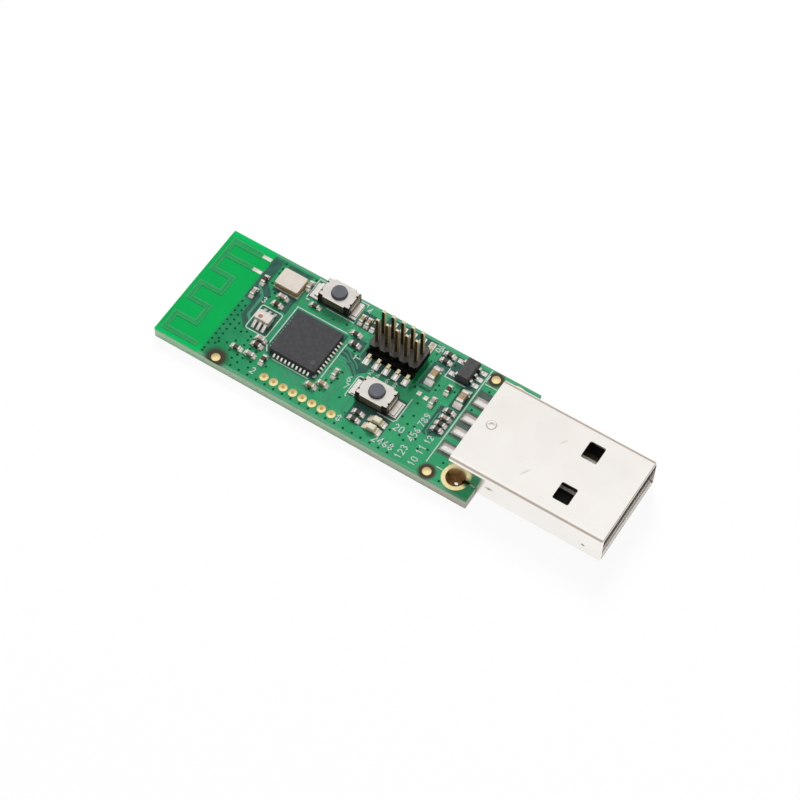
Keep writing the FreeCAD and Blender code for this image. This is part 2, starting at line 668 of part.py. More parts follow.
def make_lamps():
    """A pale base with plated ends, and a clear moulded lens with bevelled ends on top of it."""
    base_top = SEAT + LAMP_BASE_HEIGHT
    lens_top = base_top + LAMP_LENS_HEIGHT
    base_length = LAMP_LENGTH - 2 * LAMP_CAP_SKIN
    base_width = LAMP_WIDTH - 2 * LAMP_CAP_SKIN
    base = block(0, 0, base_length, base_width, SEAT + LAMP_CAP_SKIN, base_top)
    half = LAMP_LENS_LENGTH / 2
    cut = LAMP_LENS_CUT
    outline = [(-half, base_top), (half, base_top), (half - cut, lens_top), (cut - half, lens_top)]
    lens = prism([(x, -base_width / 2, z) for x, z in outline], (0, base_width, 0))
    cap_low_x = LAMP_LENGTH / 2 - LAMP_CAP_LENGTH
    cap_top = base_top
    cap = box(cap_low_x, LAMP_LENGTH / 2, -LAMP_WIDTH / 2, LAMP_WIDTH / 2, SEAT, cap_top)
    cap = cap.cut(base)
    pad = land(LAMP_LENGTH / 2 - LAND_OVERLAP, LAMP_LAND_OUTER, LAMP_LAND_WIDTH, LAMP_LENGTH / 2,
               LAMP_BASE_HEIGHT * SOLDER_CLIMB)
    for x, y in LAMP_PLACES:
        keep("lamp_bases", [placed(base, x, y, "along")])
        keep("lamp_lenses", [placed(lens, x, y, "along")])
        for shape in (cap, mirrored_x(cap)):
            keep("lamp_terminals", [placed(shape, x, y, "along")])
        for shape in (pad, mirrored_x(pad)):
            keep("solder_lands", [placed(shape, x, y, "along")])


def make_chip_part(kind, x, y, direction):
    """A small brick with a plated cap on each end, standing on two lands with solder up to the caps."""
    heights = {
        "tan_capacitor": CAPACITOR_HEIGHT,
        "grey_capacitor": CAPACITOR_HEIGHT,
        "resistor": RESISTOR_HEIGHT,
        "choke": CHOKE_HEIGHT,
        "large_capacitor": LARGE_CAPACITOR_HEIGHT,
    }
    large = kind == "large_capacitor"
    length = LARGE_CHIP_LENGTH if large else SMALL_CHIP_LENGTH
    width = LARGE_CHIP_WIDTH if large else SMALL_CHIP_WIDTH
    cap_length = LARGE_CAP_LENGTH if large else SMALL_CAP_LENGTH
    reach = LARGE_LAND_REACH if large else SMALL_LAND_REACH
    land_width = LARGE_LAND_WIDTH if large else SMALL_LAND_WIDTH
    height = heights[kind]
    top = SEAT + height
    body = block(0, 0, length - 2 * CAP_SKIN, width - 2 * CAP_SKIN, SEAT + CAP_SKIN, top - CAP_SKIN)
    cap = box(length / 2 - cap_length, length / 2, -width / 2, width / 2, SEAT, top).cut(body)
    pad = land(length / 2 - LAND_OVERLAP, length / 2 + reach, land_width, length / 2, height * SOLDER_CLIMB)
    keep("tan_capacitor_bodies" if large else kind + "_bodies", [placed(body, x, y, direction)])
    for shape in (cap, mirrored_x(cap)):
        keep("chip_end_caps", [placed(shape, x, y, direction)])
    for shape in (pad, mirrored_x(pad)):
        keep("solder_lands", [placed(shape, x, y, direction)])


def make_chip_parts():
    for kind, x, y, direction in CHIP_PLACES:
        make_chip_part(kind, x, y, direction)
    for x, y in EMPTY_LAND_PLACES:
        keep("solder_lands", [block(x, y, EMPTY_LAND_SIDE, EMPTY_LAND_SIDE, BOARD_TOP, SEAT)])


def plug_section(x0, x1, inset, radius):
    """A length of the plug's rounded section, shrunk all round by an inset."""
    half = WALL_Y - inset
    shape = box(x0, x1, PLUG_Y - half, PLUG_Y + half, PLUG_BOTTOM + inset, PLUG_TOP - inset)
    edges = []
    for edge in shape.Edges:
        if edge.BoundBox.XLength > 1e-6:
            edges.append(edge)
    return shape.makeFillet(radius, edges)


def make_plug_shell():
    """One sheet folded into a tube; over the board it is open below and stands on its two side walls."""
    tube = plug_section(PLUG_REAR, PLUG_FRONT, 0, BEND_RADIUS)
    lip = [edge for edge in tube.Edges if edge.BoundBox.XMin > PLUG_FRONT - 1e-6]
    tube = tube.makeChamfer(LIP_CUT, lip)
    tube = tube.cut(plug_section(PLUG_REAR, PLUG_FRONT, SHEET, BEND_RADIUS - SHEET))
    step_x = BOARD_LENGTH + STEP_GAP
    far_y = PLUG_Y + WALL_Y
    near_y = PLUG_Y - WALL_Y
    shell = tube.cut(box(PLUG_REAR, step_x, near_y, far_y, PLUG_BOTTOM, SEAT))
    half_seam = SEAM_GAP / 2
    seam = box(step_x, PLUG_FRONT, PLUG_Y - half_seam, PLUG_Y + half_seam, PLUG_BOTTOM, PLUG_BOTTOM + SHEET)
    shell = shell.cut(seam)
    window_x = PLUG_FRONT - WINDOW_SET_BACK
    for side in (-1, 1):
        window_y = PLUG_Y + side * WINDOW_OFFSET
        for low in (PLUG_BOTTOM, PLUG_TOP - SHEET):
            shell = shell.cut(rounded_block(window_x, window_y, WINDOW_LENGTH, WINDOW_WIDTH,
                                            WINDOW_CORNER_RADIUS, low, low + SHEET))
    dimple_x = PLUG_REAR + DIMPLE_SET_IN
    shell = shell.cut(disc(dimple_x, PLUG_Y, DIMPLE_RADIUS, PLUG_TOP - DIMPLE_DEPTH, PLUG_TOP))
    near_marks = make_side_marks(near_y)
    shell = shell.cut(Part.makeCompound(near_marks + [mirrored_y(mark, PLUG_Y) for mark in near_marks]))
    leg = box(LEG_HOLE_X - LEG_LENGTH / 2, LEG_HOLE_X + LEG_LENGTH / 2, near_y, near_y + SHEET, LEG_END, SEAT)
    keep("plug_shell", [fused([shell, leg, mirrored_y(leg, PLUG_Y)])])


def make_side_marks(wall_y):
    """A short slot through the side wall by the board's end, and a shallow round pit near the mouth."""
    slot_x = BOARD_LENGTH + SIDE_SLOT_SET_OUT
    slot_z = BOARD_TOP + SIDE_SLOT_RISE
    slot = block(slot_x, wall_y + SHEET / 2, SIDE_SLOT_LENGTH, SHEET,
                 slot_z - SIDE_SLOT_HEIGHT / 2, slot_z + SIDE_SLOT_HEIGHT / 2)
    pit_place = FreeCAD.Vector(PLUG_FRONT - SIDE_PIT_SET_BACK, wall_y, BOARD_TOP + SIDE_PIT_RISE)
    pit = Part.makeCylinder(SIDE_PIT_RADIUS, SIDE_PIT_DEPTH, pit_place, FreeCAD.Vector(0, 1, 0))
    return [slot, pit]


def make_contacts():
    """Each contact is one strip: along the tongue, down behind the block, and out along the board."""
    top = TONGUE_TOP + CONTACT_PROUD
    low = top - CONTACT_THICKNESS
    front = PLUG_FRONT - TONGUE_SET_BACK - CONTACT_SET_BACK
    drop = PLUG_REAR + BLOCK_SET_IN - CONTACT_DROP_GAP
    tail_end = drop - TAIL_LENGTH
    foot_top = SEAT + CONTACT_THICKNESS
    outline = [
        (front, low), (front, top), (drop - CONTACT_THICKNESS, top), (drop - CONTACT_THICKNESS, foot_top),
        (tail_end, foot_top), (tail_end, SEAT), (drop, SEAT), (drop, low),
    ]
    contacts = []
    for index, offset in enumerate(CONTACT_OFFSETS):
        y = PLUG_Y + offset
        low_y = y - CONTACT_WIDTH / 2
        contact = prism([(x, low_y, z) for x, z in outline], (0, CONTACT_WIDTH, 0))
        contacts.append(contact)
        keep("plug_contact_" + str(index + 1), [contact])
        land_start = tail_end - TAIL_LAND_MARGIN
        pad = box(land_start, land_start + TAIL_LAND_LENGTH, y - TAIL_LAND_WIDTH / 2, y + TAIL_LAND_WIDTH / 2,
                  BOARD_TOP, SEAT)
        keep("solder_lands", [pad])
        climb = SEAT + CONTACT_THICKNESS * SOLDER_CLIMB
        wedge = [(tail_end, SEAT), (tail_end - TAIL_SOLDER_REACH, SEAT), (tail_end, climb)]
        solder_y = low_y + TAIL_SOLDER_SIDE
        solder_width = CONTACT_WIDTH - 2 * TAIL_SOLDER_SIDE
        keep("tail_solder", [prism([(x, solder_y, z) for x, z in wedge], (0, solder_width, 0))])
    return contacts


def make_insulator(contacts):
    """A block that fills the shell over and in front of the board's end, with a tongue under the contacts."""
    rear = PLUG_REAR + BLOCK_SET_IN
    front = PLUG_FRONT - TONGUE_SET_BACK
    mouth_floor = PLUG_FRONT - MOUTH_DEPTH
    solid = plug_section(rear, front, SHEET, BEND_RADIUS - SHEET)
    near_y = PLUG_Y - WALL_Y
    far_y = PLUG_Y + WALL_Y
    over_board = box(rear, BOARD_LENGTH + STEP_GAP, near_y, far_y, PLUG_BOTTOM, SEAT)
    above_tongue = box(mouth_floor, front, near_y, far_y, TONGUE_TOP, PLUG_TOP)
    insulator = solid.cut(over_board).cut(above_tongue).cut(Part.makeCompound(contacts))
    keep("plug_insulator", [insulator])


make_board()
make_antenna()
make_gold_lands()
make_plated_holes()
make_radio_chip()
make_crystal()
make_balun()
make_switch("near", NEAR_SWITCH_PLACE, NEAR_SWITCH_PLACE)
make_switch("far", FAR_SWITCH_PLACE, FAR_SWITCH_LAND_PLACE)
make_header()
make_regulator()
make_lamps()
make_chip_parts()
make_plug_shell()
make_insulator(make_contacts())

# The origin is under the middle of the whole stick, on the plane of the board's underside.
os.makedirs("parts", exist_ok=True)
origin = FreeCAD.Vector(-PLUG_FRONT / 2, -BOARD_WIDTH / 2, 0)
for name, shapes in nodes.items():
    result = shapes[0].copy() if len(shapes) == 1 else Part.makeCompound([shape.copy() for shape in shapes])
    result.translate(origin)
    result.exportStep("parts/" + name + ".step")
    print(name, len(result.Solids), round(result.Volume, 4), result.isValid())
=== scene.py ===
import json

import bmesh
import bpy
import numpy as np
from mathutils import Matrix, Vector

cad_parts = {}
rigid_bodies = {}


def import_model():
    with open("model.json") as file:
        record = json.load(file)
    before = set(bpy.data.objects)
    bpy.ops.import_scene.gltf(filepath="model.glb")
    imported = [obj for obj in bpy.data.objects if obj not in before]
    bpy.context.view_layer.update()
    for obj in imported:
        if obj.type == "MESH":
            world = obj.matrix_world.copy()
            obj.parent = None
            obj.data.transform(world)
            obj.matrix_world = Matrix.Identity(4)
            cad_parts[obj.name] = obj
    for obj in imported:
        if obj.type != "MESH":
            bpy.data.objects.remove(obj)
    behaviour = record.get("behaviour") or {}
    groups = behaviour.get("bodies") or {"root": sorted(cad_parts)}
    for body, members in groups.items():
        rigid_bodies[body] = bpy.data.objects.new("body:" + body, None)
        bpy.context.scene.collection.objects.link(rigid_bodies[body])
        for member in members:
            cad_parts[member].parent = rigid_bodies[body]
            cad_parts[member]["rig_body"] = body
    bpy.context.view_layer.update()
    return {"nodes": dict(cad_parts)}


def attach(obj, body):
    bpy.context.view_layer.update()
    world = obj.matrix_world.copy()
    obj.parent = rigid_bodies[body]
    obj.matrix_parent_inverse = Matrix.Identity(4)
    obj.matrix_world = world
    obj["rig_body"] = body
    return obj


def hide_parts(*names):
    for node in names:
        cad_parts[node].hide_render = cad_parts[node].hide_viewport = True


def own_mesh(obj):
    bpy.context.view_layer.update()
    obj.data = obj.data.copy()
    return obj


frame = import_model()
nodes = frame["nodes"]

# Circuit board: a sheet of glass fibre and resin, with copper bonded to each face and green lacquer over it.
# The antenna end has no copper behind it, so light passes through and it looks brighter.
# The edges are sawn and bare.
MM = 0.001
STICK_LENGTH = 56.65
BOARD_WIDTH = 16.1
BOARD_TOP = 1.5
ANTENNA_ZONE = 6.0
COPPER_MARGIN = 0.32


def at(x, y, z):
    """Row frame metres for places in mm: x from the antenna end, y from the near edge, z above the board."""
    x, y, z = np.broadcast_arrays(np.asarray(x, float), np.asarray(y, float), np.asarray(z, float))
    return np.stack([(x - STICK_LENGTH / 2) * MM, (y - BOARD_WIDTH / 2) * MM, (z + BOARD_TOP) * MM], -1)


def paint(red, green, blue):
    """A linear colour for a screen colour: the curve is a short straight foot and then a 2.4 power."""
    values = np.array([red, green, blue]) / 255
    linear = np.where(values <= 0.04045, values / 12.92, ((values + 0.055) / 1.055) ** 2.4)
    return (*linear.tolist(), 1.0)


def add(tree, kind, values=(), **settings):
    """One shader node with its settings and the values of its unlinked inputs."""
    made = tree.nodes.new(kind)
    for key, value in settings.items():
        setattr(made, key, value)
    for key, value in dict(values).items():
        made.inputs[key].default_value = value
    return made


def mixed(tree, share, first, second):
    """A colour between two, each a socket or a plain colour, by the share that a socket gives."""
    mix = add(tree, "ShaderNodeMix", data_type="RGBA")
    tree.links.new(share, mix.inputs["Factor"])
    for label, value in (("A", first), ("B", second)):
        if isinstance(value, tuple):
            mix.inputs[label].default_value = value
        else:
            tree.links.new(value, mix.inputs[label])
    return mix.outputs["Result"]


def open_group(name, inputs, outputs):
    """An empty node group with its sockets, and its two end nodes."""
    tree = bpy.data.node_groups.new(name, "ShaderNodeTree")
    for label, kind, value in inputs:
        socket = tree.interface.new_socket(label, in_out="INPUT", socket_type=kind)
        socket.default_value = value
    for label, kind in outputs:
        tree.interface.new_socket(label, in_out="OUTPUT", socket_type=kind)
    return tree, tree.nodes.new("NodeGroupInput"), tree.nodes.new("NodeGroupOutput")


def make_two_tones():
    """Cloudy noise in space picks between two tones of one material."""
    tree, given, result = open_group(
        "two_tones",
        [
            ("Tone A", "NodeSocketColor", (0.5, 0.5, 0.5, 1)),
            ("Tone B", "NodeSocketColor", (0.4, 0.4, 0.4, 1)),
            ("Scale", "NodeSocketFloat", 1000.0),
            ("Low", "NodeSocketFloat", 0.35),
            ("High", "NodeSocketFloat", 0.65),
        ],
        [("Colour", "NodeSocketColor"), ("Mask", "NodeSocketFloat")],
    )
    place = add(tree, "ShaderNodeTexCoord")
    noise = add(tree, "ShaderNodeTexNoise", {"Detail": 4.0, "Roughness": 0.55})
    spread = add(tree, "ShaderNodeMapRange")
    tree.links.new(place.outputs["Object"], noise.inputs["Vector"])
    tree.links.new(given.outputs["Scale"], noise.inputs["Scale"])
    tree.links.new(noise.outputs["Fac"], spread.inputs["Value"])
    tree.links.new(given.outputs["Low"], spread.inputs["From Min"])
    tree.links.new(given.outputs["High"], spread.inputs["From Max"])
    colour = mixed(tree, spread.outputs["Result"], given.outputs["Tone A"], given.outputs["Tone B"])
    tree.links.new(colour, result.inputs["Colour"])
    tree.links.new(spread.outputs["Result"], result.inputs["Mask"])
    return tree


def make_grain():
    """Fine bumps in the surface: noise raised by a depth in metres."""
    tree, given, result = open_group(
        "grain",
        [("Scale", "NodeSocketFloat", 5000.0), ("Depth", "NodeSocketFloat", 0.00001)],
        [("Normal", "NodeSocketVector"), ("Mask", "NodeSocketFloat")],
    )
    place = add(tree, "ShaderNodeTexCoord")
    noise = add(tree, "ShaderNodeTexNoise", {"Detail": 5.0, "Roughness": 0.6})
    bump = add(tree, "ShaderNodeBump")
    tree.links.new(place.outputs["Object"], noise.inputs["Vector"])
    tree.links.new(given.outputs["Scale"], noise.inputs["Scale"])
    tree.links.new(noise.outputs["Fac"], bump.inputs["Height"])
    tree.links.new(given.outputs["Depth"], bump.inputs["Distance"])
    tree.links.new(bump.outputs["Normal"], result.inputs["Normal"])
    tree.links.new(noise.outputs["Fac"], result.inputs["Mask"])
    return tree


two_tones = make_two_tones()
grain = make_grain()


def toned(tree, tone_a, tone_b, patch_mm):
    """The colour of two tones in patches of a size."""
    tones = add(tree, "ShaderNodeGroup", node_tree=two_tones)
    tones.inputs["Tone A"].default_value = paint(*tone_a)
    tones.inputs["Tone B"].default_value = paint(*tone_b)
    tones.inputs["Scale"].default_value = 1 / (patch_mm * MM)
    return tones.outputs["Colour"]


def material(
    name, tone_a, tone_b, patch_mm, roughness, metallic=0.0, grain_mm=0.1, grain_depth_mm=0.002, gloss=0.12
):
    """A finish of two close tones in patches of a size, with a grain of a size and depth, and some gloss."""
    made = bpy.data.materials.new(name)
    made.use_nodes = True
    tree = made.node_tree
    shader = tree.nodes["Principled BSDF"]
    shader.inputs["Roughness"].default_value = roughness
    shader.inputs["Metallic"].default_value = metallic
    shader.inputs["Specular IOR Level"].default_value = gloss
    relief = add(tree, "ShaderNodeGroup", node_tree=grain)
    relief.inputs["Scale"].default_value = 1 / (grain_mm * MM)
    relief.inputs["Depth"].default_value = grain_depth_mm * MM
    tree.links.new(toned(tree, tone_a, tone_b, patch_mm), shader.inputs["Base Color"])
    tree.links.new(relief.outputs["Normal"], shader.inputs["Normal"])
    return made


def make_board_finish():
    """Green lacquer by zones on the flat faces, bare glass fibre in thin layers on the sawn edges."""
    made = material("board_lacquer", (53, 158, 108), (65, 168, 118), 2.2, 0.3, 0.0, 0.35, 0.004)
    tree = made.node_tree
    shader = tree.nodes["Principled BSDF"]
    copper_tones = shader.inputs["Base Color"].links[0].from_socket
    place = add(tree, "ShaderNodeTexCoord")
    split = add(tree, "ShaderNodeSeparateXYZ")
    tree.links.new(place.outputs["Object"], split.inputs["Vector"])

    def ramp(socket, start, end):
        spread = add(tree, "ShaderNodeMapRange", {"From Min": start * MM, "From Max": end * MM})
        tree.links.new(socket, spread.inputs["Value"])
        return spread.outputs["Result"]

    zone_x = ANTENNA_ZONE - STICK_LENGTH / 2
    copper = ramp(split.outputs["X"], zone_x - 0.22, zone_x + 0.12)
    bright = toned(tree, (2, 174, 84), (4, 180, 88), 4.0)
    distance = add(tree, "ShaderNodeMath", operation="ABSOLUTE")
    tree.links.new(split.outputs["Y"], distance.inputs[0])
    half = BOARD_WIDTH / 2
    rim = ramp(distance.outputs["Value"], half - COPPER_MARGIN - 0.05, half - COPPER_MARGIN + 0.05)
    by_the_radio = ramp(split.outputs["X"], zone_x + 1.0, zone_x + 11.0)
    over_copper = mixed(tree, by_the_radio, toned(tree, (34, 139, 88), (46, 150, 99), 1.6), copper_tones)
    over_copper = mixed(tree, rim, over_copper, paint(90, 169, 130))
    # Near the long edges the antenna end is painted brighter still, as painted light that comes in through
    # the sawn edges.
    edge_glow = ramp(distance.outputs["Value"], half - 1.3, half)
    bright = mixed(tree, edge_glow, bright, paint(8, 196, 106))
    flat_colour = mixed(tree, copper, bright, over_copper)
    fibre = add(tree, "ShaderNodeTexNoise", {"Scale": 1.0, "Detail": 3.0})
    stretch = add(tree, "ShaderNodeMapping", {"Scale": (900.0, 900.0, 9000.0)})
    tree.links.new(place.outputs["Object"], stretch.inputs["Vector"])
    tree.links.new(stretch.outputs["Vector"], fibre.inputs["Vector"])
    fibre_tone = add(tree, "ShaderNodeMapRange", {"From Min": 0.35, "From Max": 0.65})
    tree.links.new(fibre.outputs["Fac"], fibre_tone.inputs["Value"])
    sawn = mixed(tree, fibre_tone.outputs["Result"], paint(204, 244, 212), paint(220, 250, 224))
    # At the antenna end the sawn edges are painted brighter, as painted light passing through the bare fibre.
    sawn_bright = mixed(tree, fibre_tone.outputs["Result"], paint(196, 255, 212), paint(216, 255, 224))
    by_the_plug = ramp(split.outputs["X"], zone_x + 18.0, zone_x + 33.0)
    sawn = mixed(tree, by_the_plug, sawn, paint(232, 236, 226))
    edge_x = ramp(split.outputs["X"], zone_x - 1.2, zone_x + 1.0)
    sawn = mixed(tree, edge_x, sawn_bright, sawn)
    lacquer_line = ramp(split.outputs["Z"], BOARD_TOP - 0.3, BOARD_TOP - 0.02)
    sawn = mixed(tree, lacquer_line, sawn, paint(120, 200, 150))
    shape = add(tree, "ShaderNodeNewGeometry")
    facing = add(tree, "ShaderNodeSeparateXYZ")
    tree.links.new(shape.outputs["True Normal"], facing.inputs["Vector"])
    upright = add(tree, "ShaderNodeMath", operation="ABSOLUTE")
    tree.links.new(facing.outputs["Z"], upright.inputs[0])
    is_flat = add(tree, "ShaderNodeMath", {1: 0.5}, operation="GREATER_THAN")
    tree.links.new(upright.outputs["Value"], is_flat.inputs[0])
    colour = mixed(tree, is_flat.outputs["Value"], sawn, flat_colour)
    tree.links.new(colour, shader.inputs["Base Color"])
    rough = add(tree, "ShaderNodeMapRange", {"To Min": 0.75, "To Max": 0.3})
    tree.links.new(is_flat.outputs["Value"], rough.inputs["Value"])
    tree.links.new(rough.outputs["Result"], shader.inputs["Roughness"])
    return made


board = nodes["circuit_board"]
board.data.materials.clear()
board.data.materials.append(make_board_finish())

# Gaps in the copper: where the copper was etched away, the lacquer lies on bare glass fibre and looks grey
# green. They run beside the antenna's feed line, round the gold lands and under the parts.
GAP_HEIGHT = 0.006


def tube(rings, closed=False):
    """Rings of points joined in turn by four-sided faces, with a flat cap on each end unless they close."""
    count, around = rings.shape[:2]
    index = np.arange(count * around).reshape(count, around)
    if closed:
        index = np.vstack([index, index[:1]])
    near, far = index[:-1], index[1:]
    quads = np.stack([near, np.roll(near, -1, 1), np.roll(far, -1, 1), far], -1).reshape(-1, 4).tolist()
    if not closed:
        quads += [index[0, ::-1].tolist(), index[-1].tolist()]
    return rings.reshape(-1, 3), quads


def joined(parts):
    """Several lots of points and faces as one lot."""
    points, faces, total = [], [], 0
    for part_points, part_faces in parts:
        points.append(part_points)
        faces += [[corner + total for corner in face] for face in part_faces]
        total += len(part_points)
    return np.vstack(points), faces


def piece(name, shape, finish, smooth=False):
    """A mesh object from points and faces, with its faces turned outwards, riding on the board."""
    mesh = bpy.data.meshes.new(name)
    mesh.from_pydata(shape[0].tolist(), [], shape[1])
    work = bmesh.new()
    work.from_mesh(mesh)
    bmesh.ops.recalc_face_normals(work, faces=work.faces)
    work.to_mesh(mesh)
    work.free()
    mesh.materials.append(finish)
    mesh.polygons.foreach_set("use_smooth", np.full(len(mesh.polygons), smooth))
    made = bpy.data.objects.new(name, mesh)
    bpy.context.scene.collection.objects.link(made)
    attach(made, "board_assembly")
    return made


def plate(outline, low, high):
    """A flat outline between two heights."""
    flat = np.array(outline, float)
    return tube(np.stack([at(flat[:, 0], flat[:, 1], low), at(flat[:, 0], flat[:, 1], high)]))


def panel(x0, x1, y0, y1, low, high):
    """A rectangle between two heights."""
    return plate([(x0, y0), (x1, y0), (x1, y1), (x0, y1)], low, high)


def disc(x, y, radius, low, high, sides=20):
    """A round plate: points at equal angles on a circle."""
    turn = np.linspace(0, 2 * np.pi, sides, endpoint=False)
    return plate(np.stack([x + radius * np.cos(turn), y + radius * np.sin(turn)], -1), low, high)


def clipped_ring(x, y, radius, low, high, sides=40):
    """A round plate cut off straight where it would pass a long edge of the board."""
    turn = np.linspace(0, 2 * np.pi, sides, endpoint=False)
    across = np.clip(y + radius * np.sin(turn), 0.02, BOARD_WIDTH - 0.02)
    return plate(np.stack([x + radius * np.cos(turn), across], -1), low, high)


gap_finish = material("bare_fibre_lacquer", (50, 92, 82), (62, 104, 94), 0.8, 0.35, 0.0, 0.3, 0.003)
GAP_OUTLINES = [
    [(6.05, 15.55), (7.3, 15.55), (7.3, 12.15), (8.45, 11.0), (8.45, 5.5), (7.1, 6.85), (7.1, 9.1),
     (6.05, 9.1)],
    # This band beside the crystal is partly painted shadow of the crystal.
    [(8.05, 15.05), (11.25, 15.05), (11.25, 15.55), (8.05, 15.55)],
    [(8.1, 11.55), (10.35, 11.55), (10.35, 9.6), (11.3, 9.6), (11.3, 13.2), (11.1, 13.2), (11.1, 12.02),
     (8.1, 12.02)],
    [(8.6, 5.9), (11.1, 5.9), (11.1, 9.2), (8.6, 9.2)],
    [(10.15, 3.95), (11.9, 3.95), (11.9, 5.65), (10.15, 5.65)],
    [(12.05, 4.3), (12.9, 4.0), (18.9, 3.95), (18.9, 11.0), (12.1, 11.0)],
    [(12.1, 13.0), (13.3, 12.9), (18.4, 12.9), (18.4, 15.5), (12.1, 15.5)],
    [(18.5, 12.7), (21.2, 12.7), (21.2, 14.9), (18.5, 14.9)],
    [(19.35, 8.4), (20.3, 8.4), (20.9, 7.6), (22.2, 6.6), (22.5, 7.4), (23.2, 8.0), (23.2, 9.0),
     (19.35, 9.6)],
    # Round the pin header this gap is partly painted shadow of the header.
    [(21.45, 9.35), (23.25, 9.06), (23.25, 8.6), (27.9, 8.6), (27.9, 15.7), (21.45, 15.7)],
    [(22.9, 4.5), (29.2, 4.5), (29.2, 7.2), (22.9, 7.2)],
    [(24.2, 1.75), (28.95, 1.75), (28.95, 4.5), (24.2, 4.5)],
    [(28.95, 13.5), (30.7, 13.5), (30.7, 15.5), (28.95, 15.5)],
    [(30.75, 12.5), (34.6, 12.5), (34.6, 15.5), (30.75, 15.5)],
    [(29.0, 9.6), (30.45, 9.6), (30.45, 10.0), (29.0, 10.0)],
    [(32.35, 4.9), (33.0, 4.7), (34.65, 5.5), (34.65, 9.2), (32.35, 9.0)],
    [(33.1, 9.25), (34.65, 9.25), (34.65, 12.45), (33.1, 12.45)],
    [(28.78, 9.7), (28.95, 9.7), (28.95, 10.1), (29.3, 10.1), (29.3, 12.8), (30.7, 12.8), (30.7, 13.45),
     (28.78, 13.45)],
    [(19.45, 9.8), (21.2, 9.8), (21.2, 11.4), (19.45, 11.4)],
]
PLUG_GAP_ROWS = ((3.6, 5.45), (6.1, 10.05), (10.65, 13.1))
gaps = [plate(outline, 0, GAP_HEIGHT) for outline in GAP_OUTLINES]
piece("copper_gaps", joined(gaps), gap_finish)
plug_gap_finish = material("bare_fibre_by_the_plug", (80, 99, 94), (92, 111, 104), 0.8, 0.35, 0.0, 0.3, 0.003)
plug_gaps = [panel(35.02, 37.6, y0, y1, 0, GAP_HEIGHT) for y0, y1 in PLUG_GAP_ROWS]
piece("copper_gaps_by_the_plug", joined(plug_gaps), plug_gap_finish)

# Dark rings: round the three single gold lands the lacquer was kept back, so bare brownish fibre shows.
# The lacquer thins out towards each ring, so its edge is soft.


def stains_and_painted_shade(finish, tone, marks, full=0.4):
    """Places of another tone, such as a stain, a scuff or a painted shade, that fade out from a share of
    their size.
    """
    tree = finish.node_tree
    shader = tree.nodes["Principled BSDF"]
    colour = shader.inputs["Base Color"].links[0].from_socket
    place = add(tree, "ShaderNodeTexCoord")
    for x, y, z, turned, half_x, half_y, half_z in marks:
        local = add(tree, "ShaderNodeMapping", vector_type="TEXTURE")
        local.inputs["Location"].default_value = at(x, y, z).tolist()
        local.inputs["Rotation"].default_value = (0, 0, np.radians(turned))
        local.inputs["Scale"].default_value = (half_x * MM, half_y * MM, half_z * MM)
        reach = add(tree, "ShaderNodeVectorMath", operation="LENGTH")
        values = {"From Min": full, "From Max": 1.0, "To Min": 1.0, "To Max": 0.0}
        fade = add(tree, "ShaderNodeMapRange", values)
        tree.links.new(place.outputs["Object"], local.inputs["Vector"])
        tree.links.new(local.outputs["Vector"], reach.inputs[0])
        tree.links.new(reach.outputs["Value"], fade.inputs["Value"])
        colour = mixed(tree, fade.outputs["Result"], colour, paint(*tone))
    tree.links.new(colour, shader.inputs["Base Color"])


ring_finish = material("bare_fibre", (80, 70, 60), (66, 66, 58), 0.5, 0.6, 0.0, 0.2, 0.004)
ROUND_LANDS = ((8.03, 0.58, 0.92), (35.56, 0.95, 0.84), (35.8, 15.1, 0.8))
RING_HEIGHT = GAP_HEIGHT * 1.5
PLUG_END_HALOS = [(35.56, 0.95, 0, 0, 1.2, 1.2, 0.5), (35.8, 15.1, 0, 0, 1.15, 1.15, 0.5)]
# Right of the pin header a strip of the lacquer is painted darker green, as the header's painted shadow.
HEADER_SHADOW_STRIP = (28.4, 10.9, 0, 0, 0.5, 2.7, 0.5)
lacquer = board.data.materials[0]
stains_and_painted_shade(lacquer, (62, 72, 60), [(8.03, 0.58, 0, 0, 1.65, 1.65, 0.5)], 0.6)
stains_and_painted_shade(lacquer, (80, 70, 58), PLUG_END_HALOS, 0.7)
stains_and_painted_shade(lacquer, (12, 118, 62), [HEADER_SHADOW_STRIP], 0.6)
rings = [clipped_ring(x, y, radius, 0, RING_HEIGHT) for x, y, radius in ROUND_LANDS]
piece("land_rings", joined(rings), ring_finish)

# Copper lines: narrow tracks etched from the same sheet, a hair above the bare fibre and under the lacquer.
# The widest is the feed line from the balun to the antenna.
LINE_HEIGHT = 0.02
LINE_WIDTH = 0.16
FEED_WIDTH = 0.34


def ribbon(path, width, low, high, closed=False):
    """A flat bar along a path: each edge lies half a width to one side, on the mitre where two runs meet."""
    flat = np.array(path, float)
    following = np.vstack([flat[1:], flat[:1]]) if closed else flat[1:]
    run = following - flat[: len(following)]
    run = run / np.linalg.norm(run, axis=1)[:, None]
    before = np.vstack([run[-1:] if closed else run[:1], run[:-1] if closed else run])
    after = run if closed else np.vstack([run, run[-1:]])
    side_before = before[:, ::-1] * (-1, 1)
    side_after = after[:, ::-1] * (-1, 1)
    mitre = side_before + side_after
    mitre = mitre / (mitre * side_after).sum(1)[:, None] * width / 2
    left, right = flat + mitre, flat - mitre
    corners = [at(*left.T, low), at(*right.T, low), at(*right.T, high), at(*left.T, high)]
    return tube(np.stack(corners, 1), closed)


